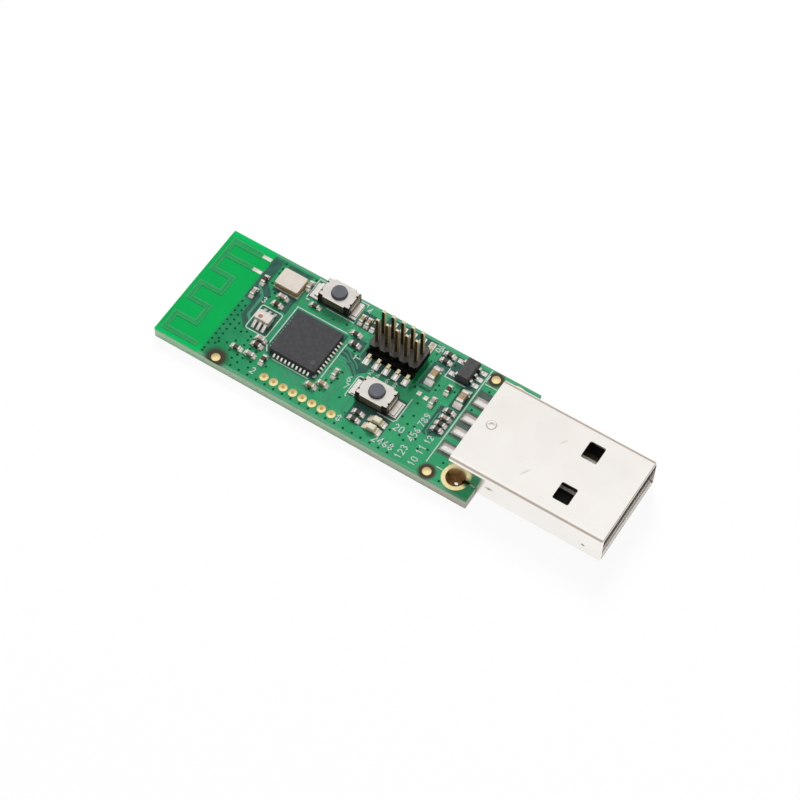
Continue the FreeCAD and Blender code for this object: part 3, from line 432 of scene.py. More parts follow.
line_finish = material("copper_line_lacquer", (70, 140, 112), (84, 152, 122), 0.6, 0.3, 0.0, 0.2, 0.003)
FEED_LINES = [
    [(6.75, 13.0), (6.75, 12.5)],
    [(6.7, 11.75), (6.7, 11.3), (7.8, 10.2), (7.8, 7.4), (8.55, 6.65)],
]
FINE_LINES = [
    [(11.5, 13.3), (11.5, 9.4), (11.75, 9.1), (11.75, 6.4)],
    [(13.0, 12.6), (12.2, 12.6), (12.2, 11.4)],
    [(14.3, 11.4), (15.1, 12.2), (16.5, 12.2), (17.0, 11.9), (17.0, 11.4)],
    [(15.6, 11.4), (15.9, 11.8), (16.3, 11.8), (16.3, 11.4)],
    [(17.9, 11.4), (18.8, 12.55), (19.0, 12.75)],
    [(19.35, 12.7), (19.35, 12.45), (19.9, 12.45), (20.0, 12.7)],
    [(20.7, 12.7), (20.7, 12.45), (21.1, 12.1), (21.1, 11.9), (20.5, 11.6), (20.0, 11.6)],
    [(21.32, 11.5), (21.32, 9.5), (22.2, 8.7)],
    [(19.4, 9.4), (20.1, 9.4), (20.8, 8.8), (21.5, 8.5), (22.1, 7.9)],
    [(19.4, 8.9), (20.0, 8.9), (20.8, 8.35), (21.35, 8.1), (22.2, 7.3)],
    [(19.4, 8.15), (21.0, 8.15), (21.4, 7.9), (22.5, 6.9)],
    [(19.4, 7.7), (20.9, 7.7), (21.3, 7.45), (22.4, 6.45)],
    [(19.4, 7.25), (20.8, 7.25), (21.15, 7.0), (21.3, 6.0), (21.3, 2.2)],
    [(19.4, 6.7), (19.65, 6.5), (19.65, 5.3), (20.0, 4.95)],
    [(14.6, 3.7), (15.4, 2.85), (15.9, 2.75), (15.9, 2.3), (16.3, 2.0)],
    [(15.3, 3.7), (15.7, 3.3), (16.0, 3.1), (16.0, 2.9)],
    [(16.3, 3.7), (16.3, 3.3), (17.0, 2.45), (17.4, 2.05)],
    [(16.9, 3.7), (16.9, 3.2), (17.5, 2.6), (18.0, 2.5), (18.8, 2.5), (19.3, 2.1)],
    [(17.5, 3.7), (17.5, 3.1), (17.8, 2.85), (18.3, 2.75)],
    [(20.6, 3.4), (20.9, 3.1), (20.9, 2.4)],
    [(21.6, 5.2), (21.6, 2.3), (22.2, 2.0)],
    [(24.0, 5.8), (23.5, 4.2), (23.5, 2.4), (24.2, 2.1)],
    [(29.9, 13.3), (30.4, 12.9), (30.4, 10.2), (31.0, 9.6), (31.0, 8.4)],
    [(28.6, 15.6), (28.6, 9.8), (28.2, 9.3)],
    [(31.3, 12.2), (31.3, 9.7), (32.2, 8.9), (32.2, 7.9)],
    [(33.0, 8.1), (32.7, 7.9), (32.7, 5.2), (33.2, 4.7)],
]
lines = [ribbon(path, FEED_WIDTH, 0, LINE_HEIGHT) for path in FEED_LINES]
lines += [ribbon(path, LINE_WIDTH, 0, LINE_HEIGHT) for path in FINE_LINES]
piece("copper_lines", joined(lines), line_finish)

# Plated through holes: tiny drilled holes that tie the copper of both faces together, under the lacquer.
# They stand in a double row beside the antenna and in a single row along the near edge.
via_finish = material("via_lacquer", (10, 64, 40), (18, 76, 48), 0.3, 0.3, 0.0, 0.1, 0.002)
VIA_PLACES = [
    (7.65, 5.75), (7.65, 4.95), (8.45, 4.95), (9.0, 5.3), (9.75, 5.0), (9.75, 4.4), (8.65, 3.65),
    (9.75, 3.65), (10.6, 3.6), (11.4, 3.6), (7.95, 2.9), (7.1, 2.5), (8.75, 2.2), (9.85, 2.15),
    (10.6, 2.1), (11.6, 2.15), (9.55, 1.5), (10.4, 1.35), (11.8, 1.4), (13.4, 2.6), (7.6, 15.4),
    (7.65, 14.6), (7.65, 13.9), (7.7, 12.35), (8.7, 11.35), (8.5, 10.6), (11.7, 15.4), (20.55, 9.65),
    (21.2, 9.4), (19.6, 6.3), (20.95, 6.6), (20.95, 5.6), (19.95, 4.8), (20.65, 4.8), (20.1, 3.25),
    (19.0, 2.75), (22.45, 3.7), (24.0, 2.3), (16.25, 11.9), (17.9, 12.2), (28.5, 14.4), (28.5, 13.25),
    (28.5, 12.15), (28.75, 9.4), (30.6, 6.15), (30.6, 4.9), (31.4, 5.0), (30.6, 3.2), (31.4, 4.05),
    (32.35, 3.7), (34.2, 3.3), (33.2, 2.8), (36.5, 2.8), (31.0, 14.2), (32.75, 11.2), (31.3, 10.55),
    (30.85, 10.3), (30.85, 11.0), (30.1, 7.75), (35.55, 10.25), (36.0, 13.3), (29.45, 1.6), (30.4, 1.7),
    (6.2, 0.6), (37.3, 0.62), (29.35, 3.2), (31.3, 2.9), (33.2, 5.3), (29.6, 5.4),
]
VIA_HEIGHT = 0.012
VIA_RADIUS = 0.145
FENCE_VIA_RADIUS = 0.14
FENCE_PITCH = 0.745
EDGE_PITCH = 1.15
vias = [disc(x, y, VIA_RADIUS, 0, VIA_HEIGHT) for x, y in VIA_PLACES]
vias += [disc(6.22, 8.45 - FENCE_PITCH * row, FENCE_VIA_RADIUS, 0, VIA_HEIGHT) for row in range(11)]
vias += [disc(6.87, 8.1 - FENCE_PITCH * row, VIA_RADIUS, 0, VIA_HEIGHT) for row in range(9)]
vias += [disc(9.97 + EDGE_PITCH * step, 0.6, VIA_RADIUS, 0, VIA_HEIGHT) for step in range(19)]
piece("via_covers", joined(vias), via_finish)

# Printed marks: pale ink screened over the lacquer, which outlines where the parts go.
# Beside some of the parts stand plain numbers.
INK_LOW = 0.006
INK_HIGH = 0.03
INK_WIDTH = 0.13
STROKE_WIDTH = 0.12
DIGIT_HEIGHT = 0.9
DIGIT_PITCH = 0.72
ink_finish = material("screen_ink", (212, 222, 220), (192, 204, 202), 0.25, 0.6, 0.0, 0.08, 0.003)
INK_LINES = [
    [(11.95, 5.5), (11.95, 11.22), (18.62, 11.22)],
    [(19.32, 10.0), (19.32, 4.7)],
    [(18.2, 3.8), (13.35, 3.8)],
    [(12.35, 4.3), (11.85, 5.1)],
    [(8.2, 12.06), (11.26, 12.06), (11.26, 13.35)],
    [(14.7, 12.8), (18.48, 12.8)],
    [(12.0, 12.7), (12.5, 12.7)],
    [(12.0, 12.9), (12.0, 15.75), (12.85, 15.75)],
    [(17.2, 15.78), (18.55, 15.78), (18.55, 15.4)],
    [(23.35, 7.32), (22.95, 7.25), (22.75, 7.05), (22.75, 4.35), (22.95, 4.15)],
    [(29.35, 7.9), (29.35, 4.6), (29.1, 4.3), (27.0, 4.3)],
    [(30.75, 13.62), (30.75, 12.38), (33.4, 12.38)],
    [(34.85, 15.95), (34.85, 1.95)],
    [(35.0, 13.95), (36.6, 13.95)],
    [(36.1, 2.02), (36.95, 2.02)],
    [(40.2, 2.02), (41.0, 2.02)],
    [(21.05, 9.1), (21.65, 9.1)],
    [(35.0, 14.2), (35.0, 15.2)],
]
CORNER_RADIUS = 0.3
CORNERS = (
    (10.92, 9.02, 1, 1, True),
    (8.73, 9.02, -1, 1, False),
    (8.73, 6.03, -1, -1, True),
    (10.92, 6.03, 1, -1, False),
)
quarter = np.linspace(0, np.pi / 2, 5)
balun_outline = np.vstack([
    np.stack([x + side_x * CORNER_RADIUS * np.cos(quarter if forwards else quarter[::-1]),
              y + side_y * CORNER_RADIUS * np.sin(quarter if forwards else quarter[::-1])], -1)
    for x, y, side_x, side_y, forwards in CORNERS
])
STROKES = {
    "0": [[(0.3, 0), (0.08, 0.2), (0.08, 0.7), (0.3, 0.9), (0.52, 0.7), (0.52, 0.2), (0.3, 0.001)]],
    "1": [[(0.12, 0.7), (0.32, 0.9), (0.32, 0)]],
    "2": [[(0.06, 0.7), (0.28, 0.9), (0.52, 0.72), (0.5, 0.5), (0.06, 0.0), (0.55, 0.0)]],
    "3": [[(0.06, 0.78), (0.3, 0.9), (0.52, 0.7), (0.3, 0.48), (0.54, 0.24), (0.3, 0.0), (0.05, 0.12)]],
    "4": [[(0.42, 0), (0.42, 0.9), (0.04, 0.28), (0.58, 0.28)]],
    "5": [[(0.52, 0.9), (0.12, 0.9), (0.1, 0.52), (0.4, 0.54), (0.54, 0.28), (0.36, 0.02), (0.06, 0.06)]],
    "6": [[(0.45, 0.88), (0.14, 0.6), (0.08, 0.22), (0.3, 0.0), (0.53, 0.22), (0.32, 0.48), (0.12, 0.36)]],
    "7": [[(0.04, 0.9), (0.55, 0.9), (0.22, 0)]],
    "8": [[(0.3, 0.48), (0.08, 0.7), (0.3, 0.9), (0.52, 0.7), (0.3, 0.481), (0.06, 0.22), (0.3, 0),
           (0.54, 0.22), (0.301, 0.479)]],
    "9": [[(0.15, 0.02), (0.46, 0.3), (0.52, 0.68), (0.3, 0.9), (0.07, 0.68), (0.28, 0.42), (0.48, 0.54)]],
}
NUMBERS = [
    ("8", 23.55, 1.0, 0.8, 0), ("1", 20.8, 8.75, 0.6, 0), ("10", 28.0, 15.7, 0.7, 270),
    ("2", 12.2, 1.0, 0.8, 0), ("3", 8.0, 9.55, 0.75, 0), ("5", 28.4, 14.85, 0.75, 0),
    ("4", 18.85, 14.85, 0.65, 0), ("6", 21.8, 5.9, 0.85, 0), ("7", 22.0, 4.95, 0.75, 0),
    ("20", 29.5, 3.45, 0.85, 0), ("2468", 28.3, 0.95, 0.85, 0), ("2", 23.4, 8.05, 0.65, 0),
    ("4", 24.3, 8.05, 0.65, 0), ("6", 25.5, 8.05, 0.65, 0), ("8", 26.5, 8.05, 0.65, 0),
    ("123", 32.3, 0.6, 0.8, 90), ("456", 32.3, 3.2, 0.8, 90), ("789", 32.3, 5.4, 0.8, 90),
    ("10", 34.0, 0.6, 0.8, 90), ("11", 34.0, 2.3, 0.8, 90), ("12", 34.0, 3.9, 0.7, 90),
]


def number_strokes(text, x, y, height, turned):
    """The strokes of a plain number, set from a place at a height and a quarter turn."""
    angle = np.radians(turned)
    for place, digit in enumerate(text):
        for stroke in STROKES[digit]:
            flat = (np.array(stroke) + (DIGIT_PITCH * place, 0)) * height / DIGIT_HEIGHT
            across = flat[:, 0] * np.cos(angle) - flat[:, 1] * np.sin(angle)
            along = flat[:, 0] * np.sin(angle) + flat[:, 1] * np.cos(angle)
            yield np.stack([x + across, y + along], -1)


ink = [ribbon(path, INK_WIDTH, INK_LOW, INK_HIGH) for path in INK_LINES]
ink.append(ribbon(balun_outline, INK_WIDTH, INK_LOW, INK_HIGH, closed=True))
strokes = [stroke for number in NUMBERS for stroke in number_strokes(*number)]
ink += [ribbon(stroke, STROKE_WIDTH, INK_LOW, INK_HIGH) for stroke in strokes]
ink.append(disc(18.62, 4.5, 0.27, INK_LOW, INK_HIGH))
piece("printed_marks", joined(ink), ink_finish)

# Antenna line: copper under the lacquer, folded back and forth. Its top is a little darker than the board,
# and where the lacquer runs down its sides it is painted pale, as a painted highlight of the light it
# catches.


def is_upright(face):
    """True for a face that stands nearer to upright than to flat."""
    return abs(face.normal.z) < 0.5


def softened(node, name, radius_mm, finish, segments=2, side_finish=None, is_side=is_upright):
    """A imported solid's own faces joined into whole flats, with each sharp edge rounded by one radius."""
    mesh = nodes[node].data.copy()
    work = bmesh.new()
    work.from_mesh(mesh)
    bmesh.ops.remove_doubles(work, verts=work.verts, dist=1e-7)
    bmesh.ops.dissolve_limit(work, angle_limit=0.01, verts=work.verts, edges=work.edges)
    work.to_mesh(mesh)
    work.free()
    mesh.materials.clear()
    mesh.materials.append(finish)
    if side_finish:
        mesh.materials.append(side_finish)
    sides = [1 if side_finish and is_side(face) else 0 for face in mesh.polygons]
    mesh.polygons.foreach_set("material_index", sides)
    mesh.polygons.foreach_set("use_smooth", np.full(len(mesh.polygons), True))
    made = bpy.data.objects.new(name, mesh)
    bpy.context.scene.collection.objects.link(made)
    bevel = made.modifiers.new("rounded_edges", "BEVEL")
    bevel.width = radius_mm * MM
    bevel.segments = segments
    bevel.limit_method = "ANGLE"
    bevel.angle_limit = np.radians(35)
    flats = made.modifiers.new("flat_faces", "WEIGHTED_NORMAL")
    flats.keep_sharp = True
    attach(made, nodes[node]["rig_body"])
    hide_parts(node)
    return made


def make_line_finish():
    """The board's lacquer on flat faces, and a pale painted highlight where it runs down the sides."""
    made = material("antenna_lacquer", (34, 158, 90), (44, 166, 98), 1.5, 0.3, 0.0, 0.3, 0.003)
    tree = made.node_tree
    shader = tree.nodes["Principled BSDF"]
    top_tones = shader.inputs["Base Color"].links[0].from_socket
    shape = add(tree, "ShaderNodeNewGeometry")
    facing = add(tree, "ShaderNodeSeparateXYZ")
    tree.links.new(shape.outputs["True Normal"], facing.inputs["Vector"])
    flat = add(tree, "ShaderNodeMapRange", {"From Min": 0.5, "From Max": 0.95})
    tree.links.new(facing.outputs["Z"], flat.inputs["Value"])
    colour = mixed(tree, flat.outputs["Result"], paint(112, 205, 148), top_tones)
    tree.links.new(colour, shader.inputs["Base Color"])
    return made


antenna_line = softened("antenna_trace", "antenna_line", 0.02, make_line_finish())
# A thin pale ribbon round the top of the antenna line stands for the lacquer's edge: a painted highlight.
rim_highlight_finish = material("lacquer_rim_painted_highlight", (84, 160, 112), (98, 170, 122), 0.5, 0.3, 0.0, 0.2, 0.003)
upper_faces = [face for face in antenna_line.data.polygons if face.normal.z > 0.9]
top_face = max(upper_faces, key=lambda face: face.area)
rim_path = [antenna_line.data.vertices[corner].co for corner in top_face.vertices]
rim_path = [(point.x / MM + STICK_LENGTH / 2, point.y / MM + BOARD_WIDTH / 2) for point in rim_path]
piece("antenna_rim_highlight", ribbon(rim_path, 0.08, 0.046, 0.056, closed=True), rim_highlight_finish)

# Gold lands: thin plates of gold over nickel and copper, in a row of eight and three single ones.
# Test probes have left a small dimple in each of the eight.
PAD_PITCH = 1.27
gold_finish = material("gold_plate", (255, 238, 180), (250, 227, 164), 0.6, 0.3, 1.0, 0.12, 0.002)
softened("test_pads", "gold_test_lands", 0.02, gold_finish)
softened("round_lands", "gold_round_lands", 0.02, gold_finish)
probe_finish = material("probe_dimple", (222, 182, 116), (208, 166, 100), 0.15, 0.4, 1.0, 0.08, 0.003)
probed = [disc(13.98 + PAD_PITCH * index, 1.37, 0.2, 0.04, 0.0525, 16) for index in range(8)]
piece("probe_dimples", joined(probed), probe_finish)
hole_finish = material("gold_hole_plate", (255, 242, 190), (252, 232, 174), 0.6, 0.3, 1.0, 0.12, 0.002)
# On the side towards the plug's mouth the near hole's gold ring is painted darker and greener, as painted
# shade from the shell's side.
stains_and_painted_shade(hole_finish, (74, 112, 68), [(40.1, 2.6, 0, 30, 1.35, 1.3, 0.6)], 0.7)
softened("near_plated_hole", "near_gold_hole", 0.02, hole_finish)
softened("far_plated_hole", "far_gold_hole", 0.02, hole_finish)

# Leg holes: a dish sits inside each plated barrel and leaves a small opening in the middle. Its brown is
# painted shade and a painted reflection of the gold barrel inside the hole.
hole_shade_finish = material("hole_painted_shade", (176, 136, 80), (126, 94, 52), 0.5, 0.4, 0.0, 0.3, 0.01, 0.3)
LEG_HOLE_X = 38.6
LEG_HOLE_OFFSET = 6.075


def shaded_hole_dish(x, y):
    """A dish inside the barrel: it falls steeply from the rim and is nearly flat in the middle."""
    rim, opening, steps, sides = 1.11, 0.26, 10, 32
    way = np.linspace(0, 1, steps)
    radius = rim + (opening - rim) * way
    depth = -0.35 - 0.95 * (1 - (1 - way) ** 2)
    radius = np.concatenate([radius, radius[::-1]])
    depth = np.concatenate([depth, depth[::-1] - 0.08])
    turn = np.linspace(0, 2 * np.pi, sides, endpoint=False)[:, None]
    shift = (rim - radius) / (rim - opening)
    rings = at(x + 0.1 * shift + radius * np.cos(turn), y + 0.17 * shift + radius * np.sin(turn), depth)
    return tube(rings, closed=True)


dishes = [shaded_hole_dish(LEG_HOLE_X, BOARD_WIDTH / 2 + side * LEG_HOLE_OFFSET) for side in (-1, 1)]
piece("leg_hole_painted_shade", joined(dishes), hole_shade_finish, smooth=True)

# Solder: bright tin alloy that flowed over each land and up the end of the part on it.
tin_finish = material("tin_solder", (246, 243, 240), (228, 226, 224), 0.35, 0.3, 1.0, 0.22, 0.014)
cap_finish = material("end_cap_plate", (252, 249, 245), (237, 233, 229), 0.3, 0.4, 0.7, 0.15, 0.008)
softened("solder_lands", "tinned_lands", 0.03, cap_finish)
softened("chip_solder", "radio_chip_joints", 0.025, tin_finish)
softened("tail_solder", "tail_joints", 0.02, tin_finish)
softened("chip_end_caps", "plated_end_caps", 0.025, cap_finish)

# Solder mounds: behind the plug the solder stands up over each blade's tail, highest along its middle.
PLUG_LAND_ROWS = (4.55, 7.05, 9.05, 11.55)
TAIL_START = 35.06
TAIL_COVER_END = 37.7


def mound(x0, x1, y_mid, half_width, low, height):
    """A solder mound on a rectangle: round edges, a flat top and a slight ridge along the middle."""
    along = np.linspace(-1, 1, 18)[:, None]
    across = np.linspace(-1, 1, 13)[None]
    ridge = 0.8 + 0.2 * (1 - np.abs(across))
    rise = 0.01 + height * ridge * ((1 - along**6) * (1 - across**4)) ** 0.6
    x = (x0 + x1) / 2 + along * (x1 - x0) / 2 + 0 * across
    y = y_mid + across * half_width + 0 * along
    top = at(x, y, low + rise)
    bottom = at(x[:, ::-1], y[:, ::-1], low)
    return tube(np.concatenate([top, bottom], 1))


mounds = [mound(TAIL_START, TAIL_COVER_END, y, 0.6, 0.02, 0.34) for y in PLUG_LAND_ROWS]
piece("tail_solder_mounds", joined(mounds), tin_finish, smooth=True)

# Radio chip: a square of black moulding compound with a matt top and a shallow moulded dot by its first lead.
chip_finish = material("moulded_black", (74, 75, 79), (82, 83, 87), 0.5, 0.55, 0.0, 0.05, 0.004)
softened("radio_chip", "radio_chip_body", 0.05, chip_finish)
softened("radio_chip_leads", "radio_chip_contacts", 0.02, tin_finish)
mark_finish = material("moulded_dot", (92, 92, 94), (98, 98, 100), 0.2, 0.4, 0.0, 0.05, 0.002)
CHIP_TOP = 0.9
chip_dot = disc(17.82, 5.42, 0.28, CHIP_TOP - 0.01, CHIP_TOP + 0.002, 28)
piece("radio_chip_dot", chip_dot, mark_finish)

# Crystal: a ceramic tray closed by a thin metal lid, which is welded on. The tray is soldered to its lands.
lid_finish = material("crystal_lid_metal", (249, 241, 233), (240, 231, 222), 1.2, 0.45, 0.65, 0.3, 0.006)
tray_finish = material("crystal_ceramic", (198, 162, 106), (170, 138, 92), 0.3, 0.5, 0.0, 0.1, 0.004)
softened("crystal_lid", "crystal_metal_lid", 0.07, lid_finish, 3)
softened("crystal_base", "crystal_ceramic_tray", 0.03, tray_finish)

# Balun: a white ceramic brick with plated straps and a reddish dot that marks its first terminal.
ceramic_finish = material("white_ceramic", (236, 232, 226), (226, 220, 214), 0.4, 0.35, 0.0, 0.08, 0.003)
dot_finish = material("reddish_ink", (176, 124, 118), (192, 140, 132), 0.15, 0.5, 0.0, 0.05, 0.002)
BALUN_TOP = 1.0
softened("balun_body", "balun_ceramic", 0.04, ceramic_finish)
softened("balun_terminals", "balun_straps", 0.012, cap_finish)
balun_dot = disc(9.49, 7.36, 0.27, BALUN_TOP - 0.04, BALUN_TOP - 0.024, 24)
piece("balun_dot", balun_dot, dot_finish)

# Push switches: a black moulded base on two bent metal legs, a stamped metal cover with cut corners, and a
# round plunger. A snap dome under it flattens as it is pressed, and pushes it back up.
cover_finish = material("stamped_cover", (244, 240, 236), (234, 230, 226), 0.9, 0.34, 0.85, 0.25, 0.006)
black_finish = material("switch_moulding", (34, 36, 36), (44, 45, 44), 0.4, 0.5, 0.0, 0.06, 0.003)
plunger_finish = material("plunger_moulding", (105, 109, 117), (114, 118, 126), 0.6, 0.42, 0.0, 0.05, 0.003)
# The cover's upright sides get a darker, less metallic copy of its metal: painted shade.
skirt_shade_finish = material("skirt_painted_shade", (132, 124, 106), (116, 110, 94), 0.5, 0.5, 0.5, 0.2, 0.004)
# The end flaps and the legs' upright faces are painted darker than the metal's tops: painted shade.
flap_shade_finish = material("end_flap_painted_shade", (158, 143, 126), (134, 121, 108), 0.4, 0.45, 0.6, 0.2, 0.004)
leg_finish = material("tinned_leg", (255, 252, 247), (247, 243, 238), 0.6, 0.45, 0.4, 0.25, 0.006)
DOME_FOOT = 0.35
for side in ("near", "far"):
    switch = side + "_switch_"
    softened(switch + "cover", switch + "metal_cover", 0.035, cover_finish, 2, skirt_shade_finish)
    softened(switch + "base", switch + "moulded_base", 0.03, black_finish)
    softened(switch + "terminals", switch + "legs", 0.03, leg_finish, 2, flap_shade_finish)
    softened(switch + "plunger", switch + "button", 0.02, plunger_finish)
    dome = softened(switch + "dome", switch + "snap_dome", 0.01, cover_finish)
    dome_foot = at(0, 0, DOME_FOOT).tolist()
    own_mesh(dome)

# Switch ends: on each short end the cover's metal shows again as a narrow flap between cover and leg.
# It is rougher than the top and painted darker, as painted shade.
SWITCH_PLACES = ((26.0, 5.8), (15.4, 14.5))
FLAP_INSIDE = 2.052
FLAP_OUTSIDE = 2.09
FLAP_HALF = 1.2
FLAP_LOW = 0.55
FLAP_HIGH = 1.33
flaps = []
for x, y in SWITCH_PLACES:
    for end in (-1, 1):
        first_face, second_face = sorted((x + end * FLAP_INSIDE, x + end * FLAP_OUTSIDE))
        flaps.append(panel(first_face, second_face, y - FLAP_HALF, y + FLAP_HALF, FLAP_LOW, FLAP_HIGH))
piece("switch_end_flaps", joined(flaps), flap_shade_finish)

# Pin header: ten square pins pressed through a black moulded strip, with their feet bent out onto the lands.
header_finish = material("header_moulding", (90, 90, 88), (99, 99, 96), 0.5, 0.5, 0.0, 0.07, 0.004)
# The housing's upright faces are a near-black copy of its moulding: painted shade.
header_side_shade_finish = material("header_sides_painted_shade", (20, 20, 20), (28, 28, 27), 0.5, 0.6, 0.0, 0.07, 0.004, 0.05)
pin_finish = material("pin_plate", (226, 210, 164), (206, 188, 140), 0.5, 0.45, 0.8, 0.2, 0.004)
# The pins' faces across the board are a dark copy of the plating: painted shade.
pin_side_shade_finish = material("pin_side_painted_shade", (96, 74, 46), (70, 54, 36), 0.4, 0.45, 0.8, 0.12, 0.008)


def fade_along(finish, tone, axis, start, end):
    """Another tone takes over along an axis of the row frame, from a start to an end in mm."""
    tree = finish.node_tree
    shader = tree.nodes["Principled BSDF"]
    first_tones = shader.inputs["Base Color"].links[0].from_socket
    place = add(tree, "ShaderNodeTexCoord")
    split = add(tree, "ShaderNodeSeparateXYZ")
    share = add(tree, "ShaderNodeMapRange", {"From Min": start * MM, "From Max": end * MM})
    tree.links.new(place.outputs["Object"], split.inputs["Vector"])
    tree.links.new(split.outputs[axis], share.inputs["Value"])
    colour = mixed(tree, share.outputs["Result"], first_tones, paint(*tone))
    tree.links.new(colour, shader.inputs["Base Color"])


def is_shaded_pin_side(face):
    """The two faces of each pin across the board, above the bend, which are painted dark as shade."""
    return abs(face.normal.y) > 0.5 and face.center.z > 0.0022


softened("header_housing", "header_strip", 0.04, header_finish, 2, header_side_shade_finish)
# Two black strips lie along the header's near side: the upper one, over the feet, is the housing's lower lip
# in painted shade, and the flat one on the board between the feet is painted shadow.
lip_and_shadow_strips = [panel(21.8, 28.05, 10.14, 10.6, 0.3, 0.62), panel(21.9, 27.95, 9.92, 10.6, 0.02, 0.1)]
piece("header_lip_and_painted_shadow", joined(lip_and_shadow_strips), header_side_shade_finish)
pin_top = max(corner[2] for corner in nodes["header_pins"].bound_box) / MM
# The top of each pin is painted pale, as a painted highlight; below the bend the feet turn pale cream.
fade_along(pin_finish, (255, 246, 214), "Z", pin_top - 0.5, pin_top - 0.05)
fade_along(pin_finish, (255, 244, 206), "Z", BOARD_TOP + 0.75, BOARD_TOP + 0.4)
softened("header_pins", "header_square_pins", 0.03, pin_finish, 2, pin_side_shade_finish, is_shaded_pin_side)

# Regulator: a small moulded body that tapers above its lead line, on five bent leads.
regulator_finish = material("regulator_moulding", (84, 84, 86), (93, 93, 94), 0.5, 0.55, 0.0, 0.05, 0.004)
softened("regulator_body", "regulator_moulded_body", 0.04, regulator_finish)
softened("regulator_leads", "regulator_bent_leads", 0.02, tin_finish)

# Lamps: a pale laminate base with plated ends, soldered to its lands, under a cloudy resin lens.
lens_finish = material("lamp_resin", (240, 236, 222), (230, 224, 196), 0.5, 0.25, 0.0, 0.1, 0.002)
base_finish = material("lamp_laminate", (236, 228, 198), (224, 214, 182), 0.2, 0.5, 0.0, 0.08, 0.003)
softened("lamp_lenses", "lamp_resin_lenses", 0.09, lens_finish, 3)
softened("lamp_bases", "lamp_laminate_bases", 0.015, base_finish)
end_finish = material("lamp_end_resin", (240, 228, 192), (228, 214, 172), 0.3, 0.4, 0.2, 0.1, 0.003)
softened("lamp_terminals", "lamp_plated_ends", 0.015, end_finish)

# Chip parts: fired ceramic bricks in tan, grey, black and brown. Each is soldered down by its plated ends.
tan_finish = material("tan_ceramic", (186, 164, 130), (170, 148, 116), 0.3, 0.45, 0.0, 0.06, 0.003)
grey_finish = material("grey_ceramic", (190, 178, 170), (172, 162, 156), 0.3, 0.45, 0.0, 0.06, 0.003)
glaze_finish = material("resistor_glaze", (82, 76, 73), (94, 88, 84), 0.2, 0.35, 0.0, 0.06, 0.003)
choke_finish = material("choke_ceramic", (104, 72, 66), (88, 62, 58), 0.3, 0.45, 0.0, 0.06, 0.003)
softened("tan_capacitor_bodies", "tan_ceramic_bricks", 0.03, tan_finish)
softened("grey_capacitor_bodies", "grey_ceramic_bricks", 0.03, grey_finish)
softened("resistor_bodies", "glazed_resistors", 0.02, glaze_finish)
softened("choke_bodies", "brown_chokes", 0.03, choke_finish)

# Plug shell: one sheet of nickelled steel folded into a tube, with latch windows and a stamped dimple.
# Its two legs are soldered in the board's big holes. It has small pits in its side and faint scuffs on top.
SIDE_PITS = [(42.78, 2.05, 1.35, 0, 0.5, 0.3, 0.3), (54.45, 2.05, 0.55, 0, 0.3, 0.3, 0.25)]
SCUFFS = [(46.95, 10.51, 3.2, 60, 0.7, 0.16, 0.3), (45.34, 4.99, 3.2, 60, 0.8, 0.2, 0.3)]
steel_finish = material("nickelled_steel", (251, 247, 242), (246, 242, 237), 5.0, 0.22, 1.0, 1.4, 0.004)
stains_and_painted_shade(steel_finish, (196, 190, 170), SIDE_PITS)
stains_and_painted_shade(steel_finish, (232, 229, 225), SCUFFS)
softened("plug_shell", "folded_steel_shell", 0.05, steel_finish)

# Stamped dimple: a blunt punch pressed the sheet in, so a sloping ring stands round a slightly raised middle.
BOARD_MIDDLE = BOARD_WIDTH / 2
DIMPLE_X = 39.27
DIMPLE_PROFILE = [
    (0.62, 3.101), (0.62, 3.199), (0.57, 3.18), (0.48, 3.125), (0.4, 3.12), (0.3, 3.145), (0.1, 3.155),
]
turn = np.linspace(0, 2 * np.pi, 40, endpoint=False)
dimple = np.stack(
    [at(DIMPLE_X + r * np.cos(turn), BOARD_MIDDLE + r * np.sin(turn), z) for r, z in DIMPLE_PROFILE]
)
piece("stamped_dimple", tube(dimple), steel_finish, smooth=True)

# Mouth ramp: behind the mouth the bottom of the shell is pressed up into two low ramps across its width,
# which lead the socket in.
# The ramps are painted darker than the shell, as painted shade inside the mouth.
ramp_shade_and_light_finish = material("ramp_painted_shade_and_light", (210, 205, 199), (196, 192, 186), 0.8, 0.35, 1.0, 0.3, 0.004)
RAMP_PROFILE = np.array([
    (56.6, -1.0), (56.6, -0.985), (56.36, -0.92), (56.33, -0.935), (56.3, -0.91),
    (56.16, -0.88), (56.13, -0.985), (55.7, -0.985), (55.7, -1.0),
])
ramps = np.stack([at(RAMP_PROFILE[:, 0], y, RAMP_PROFILE[:, 1]) for y in (2.4, 13.7)])
# Towards the mouth's edge they are painted nearly white, as painted light falling in from outside.
fade_along(ramp_shade_and_light_finish, (255, 253, 250), "X", 56.38 - STICK_LENGTH / 2, 56.6 - STICK_LENGTH / 2)
piece("mouth_ramps", tube(ramps), ramp_shade_and_light_finish)

# Relief beside each leg: the cut that frees the leg from the wall leaves a short gap at the board, and a thin
# black panel on the wall stands for its opening as painted shadow.
relief_finish = material("cut_shadow", (26, 30, 24), (36, 40, 32), 0.2, 0.6, 0.0, 0.1, 0.004, 0.05)
RELIEF_SIDES = ((1.98, 2.05), (14.05, 14.12))
reliefs = [panel(39.6, 40.3, y0, y1, 0.02, 0.3) for y0, y1 in RELIEF_SIDES]
piece("leg_reliefs", joined(reliefs), relief_finish)

# Plug insides: a black moulded block whose tongue carries four gold plated blades.
block_finish = material("plug_moulding", (40, 40, 40), (50, 50, 49), 0.6, 0.45, 0.0, 0.08, 0.004)
# Inside the shell the blades' gold is painted dark, as painted shade.
blade_shade_finish = material("gold_blade_painted_shade", (120, 104, 74), (104, 90, 64), 0.6, 0.4, 1.0, 0.15, 0.003)
softened("plug_insulator", "plug_moulded_block", 0.05, block_finish)
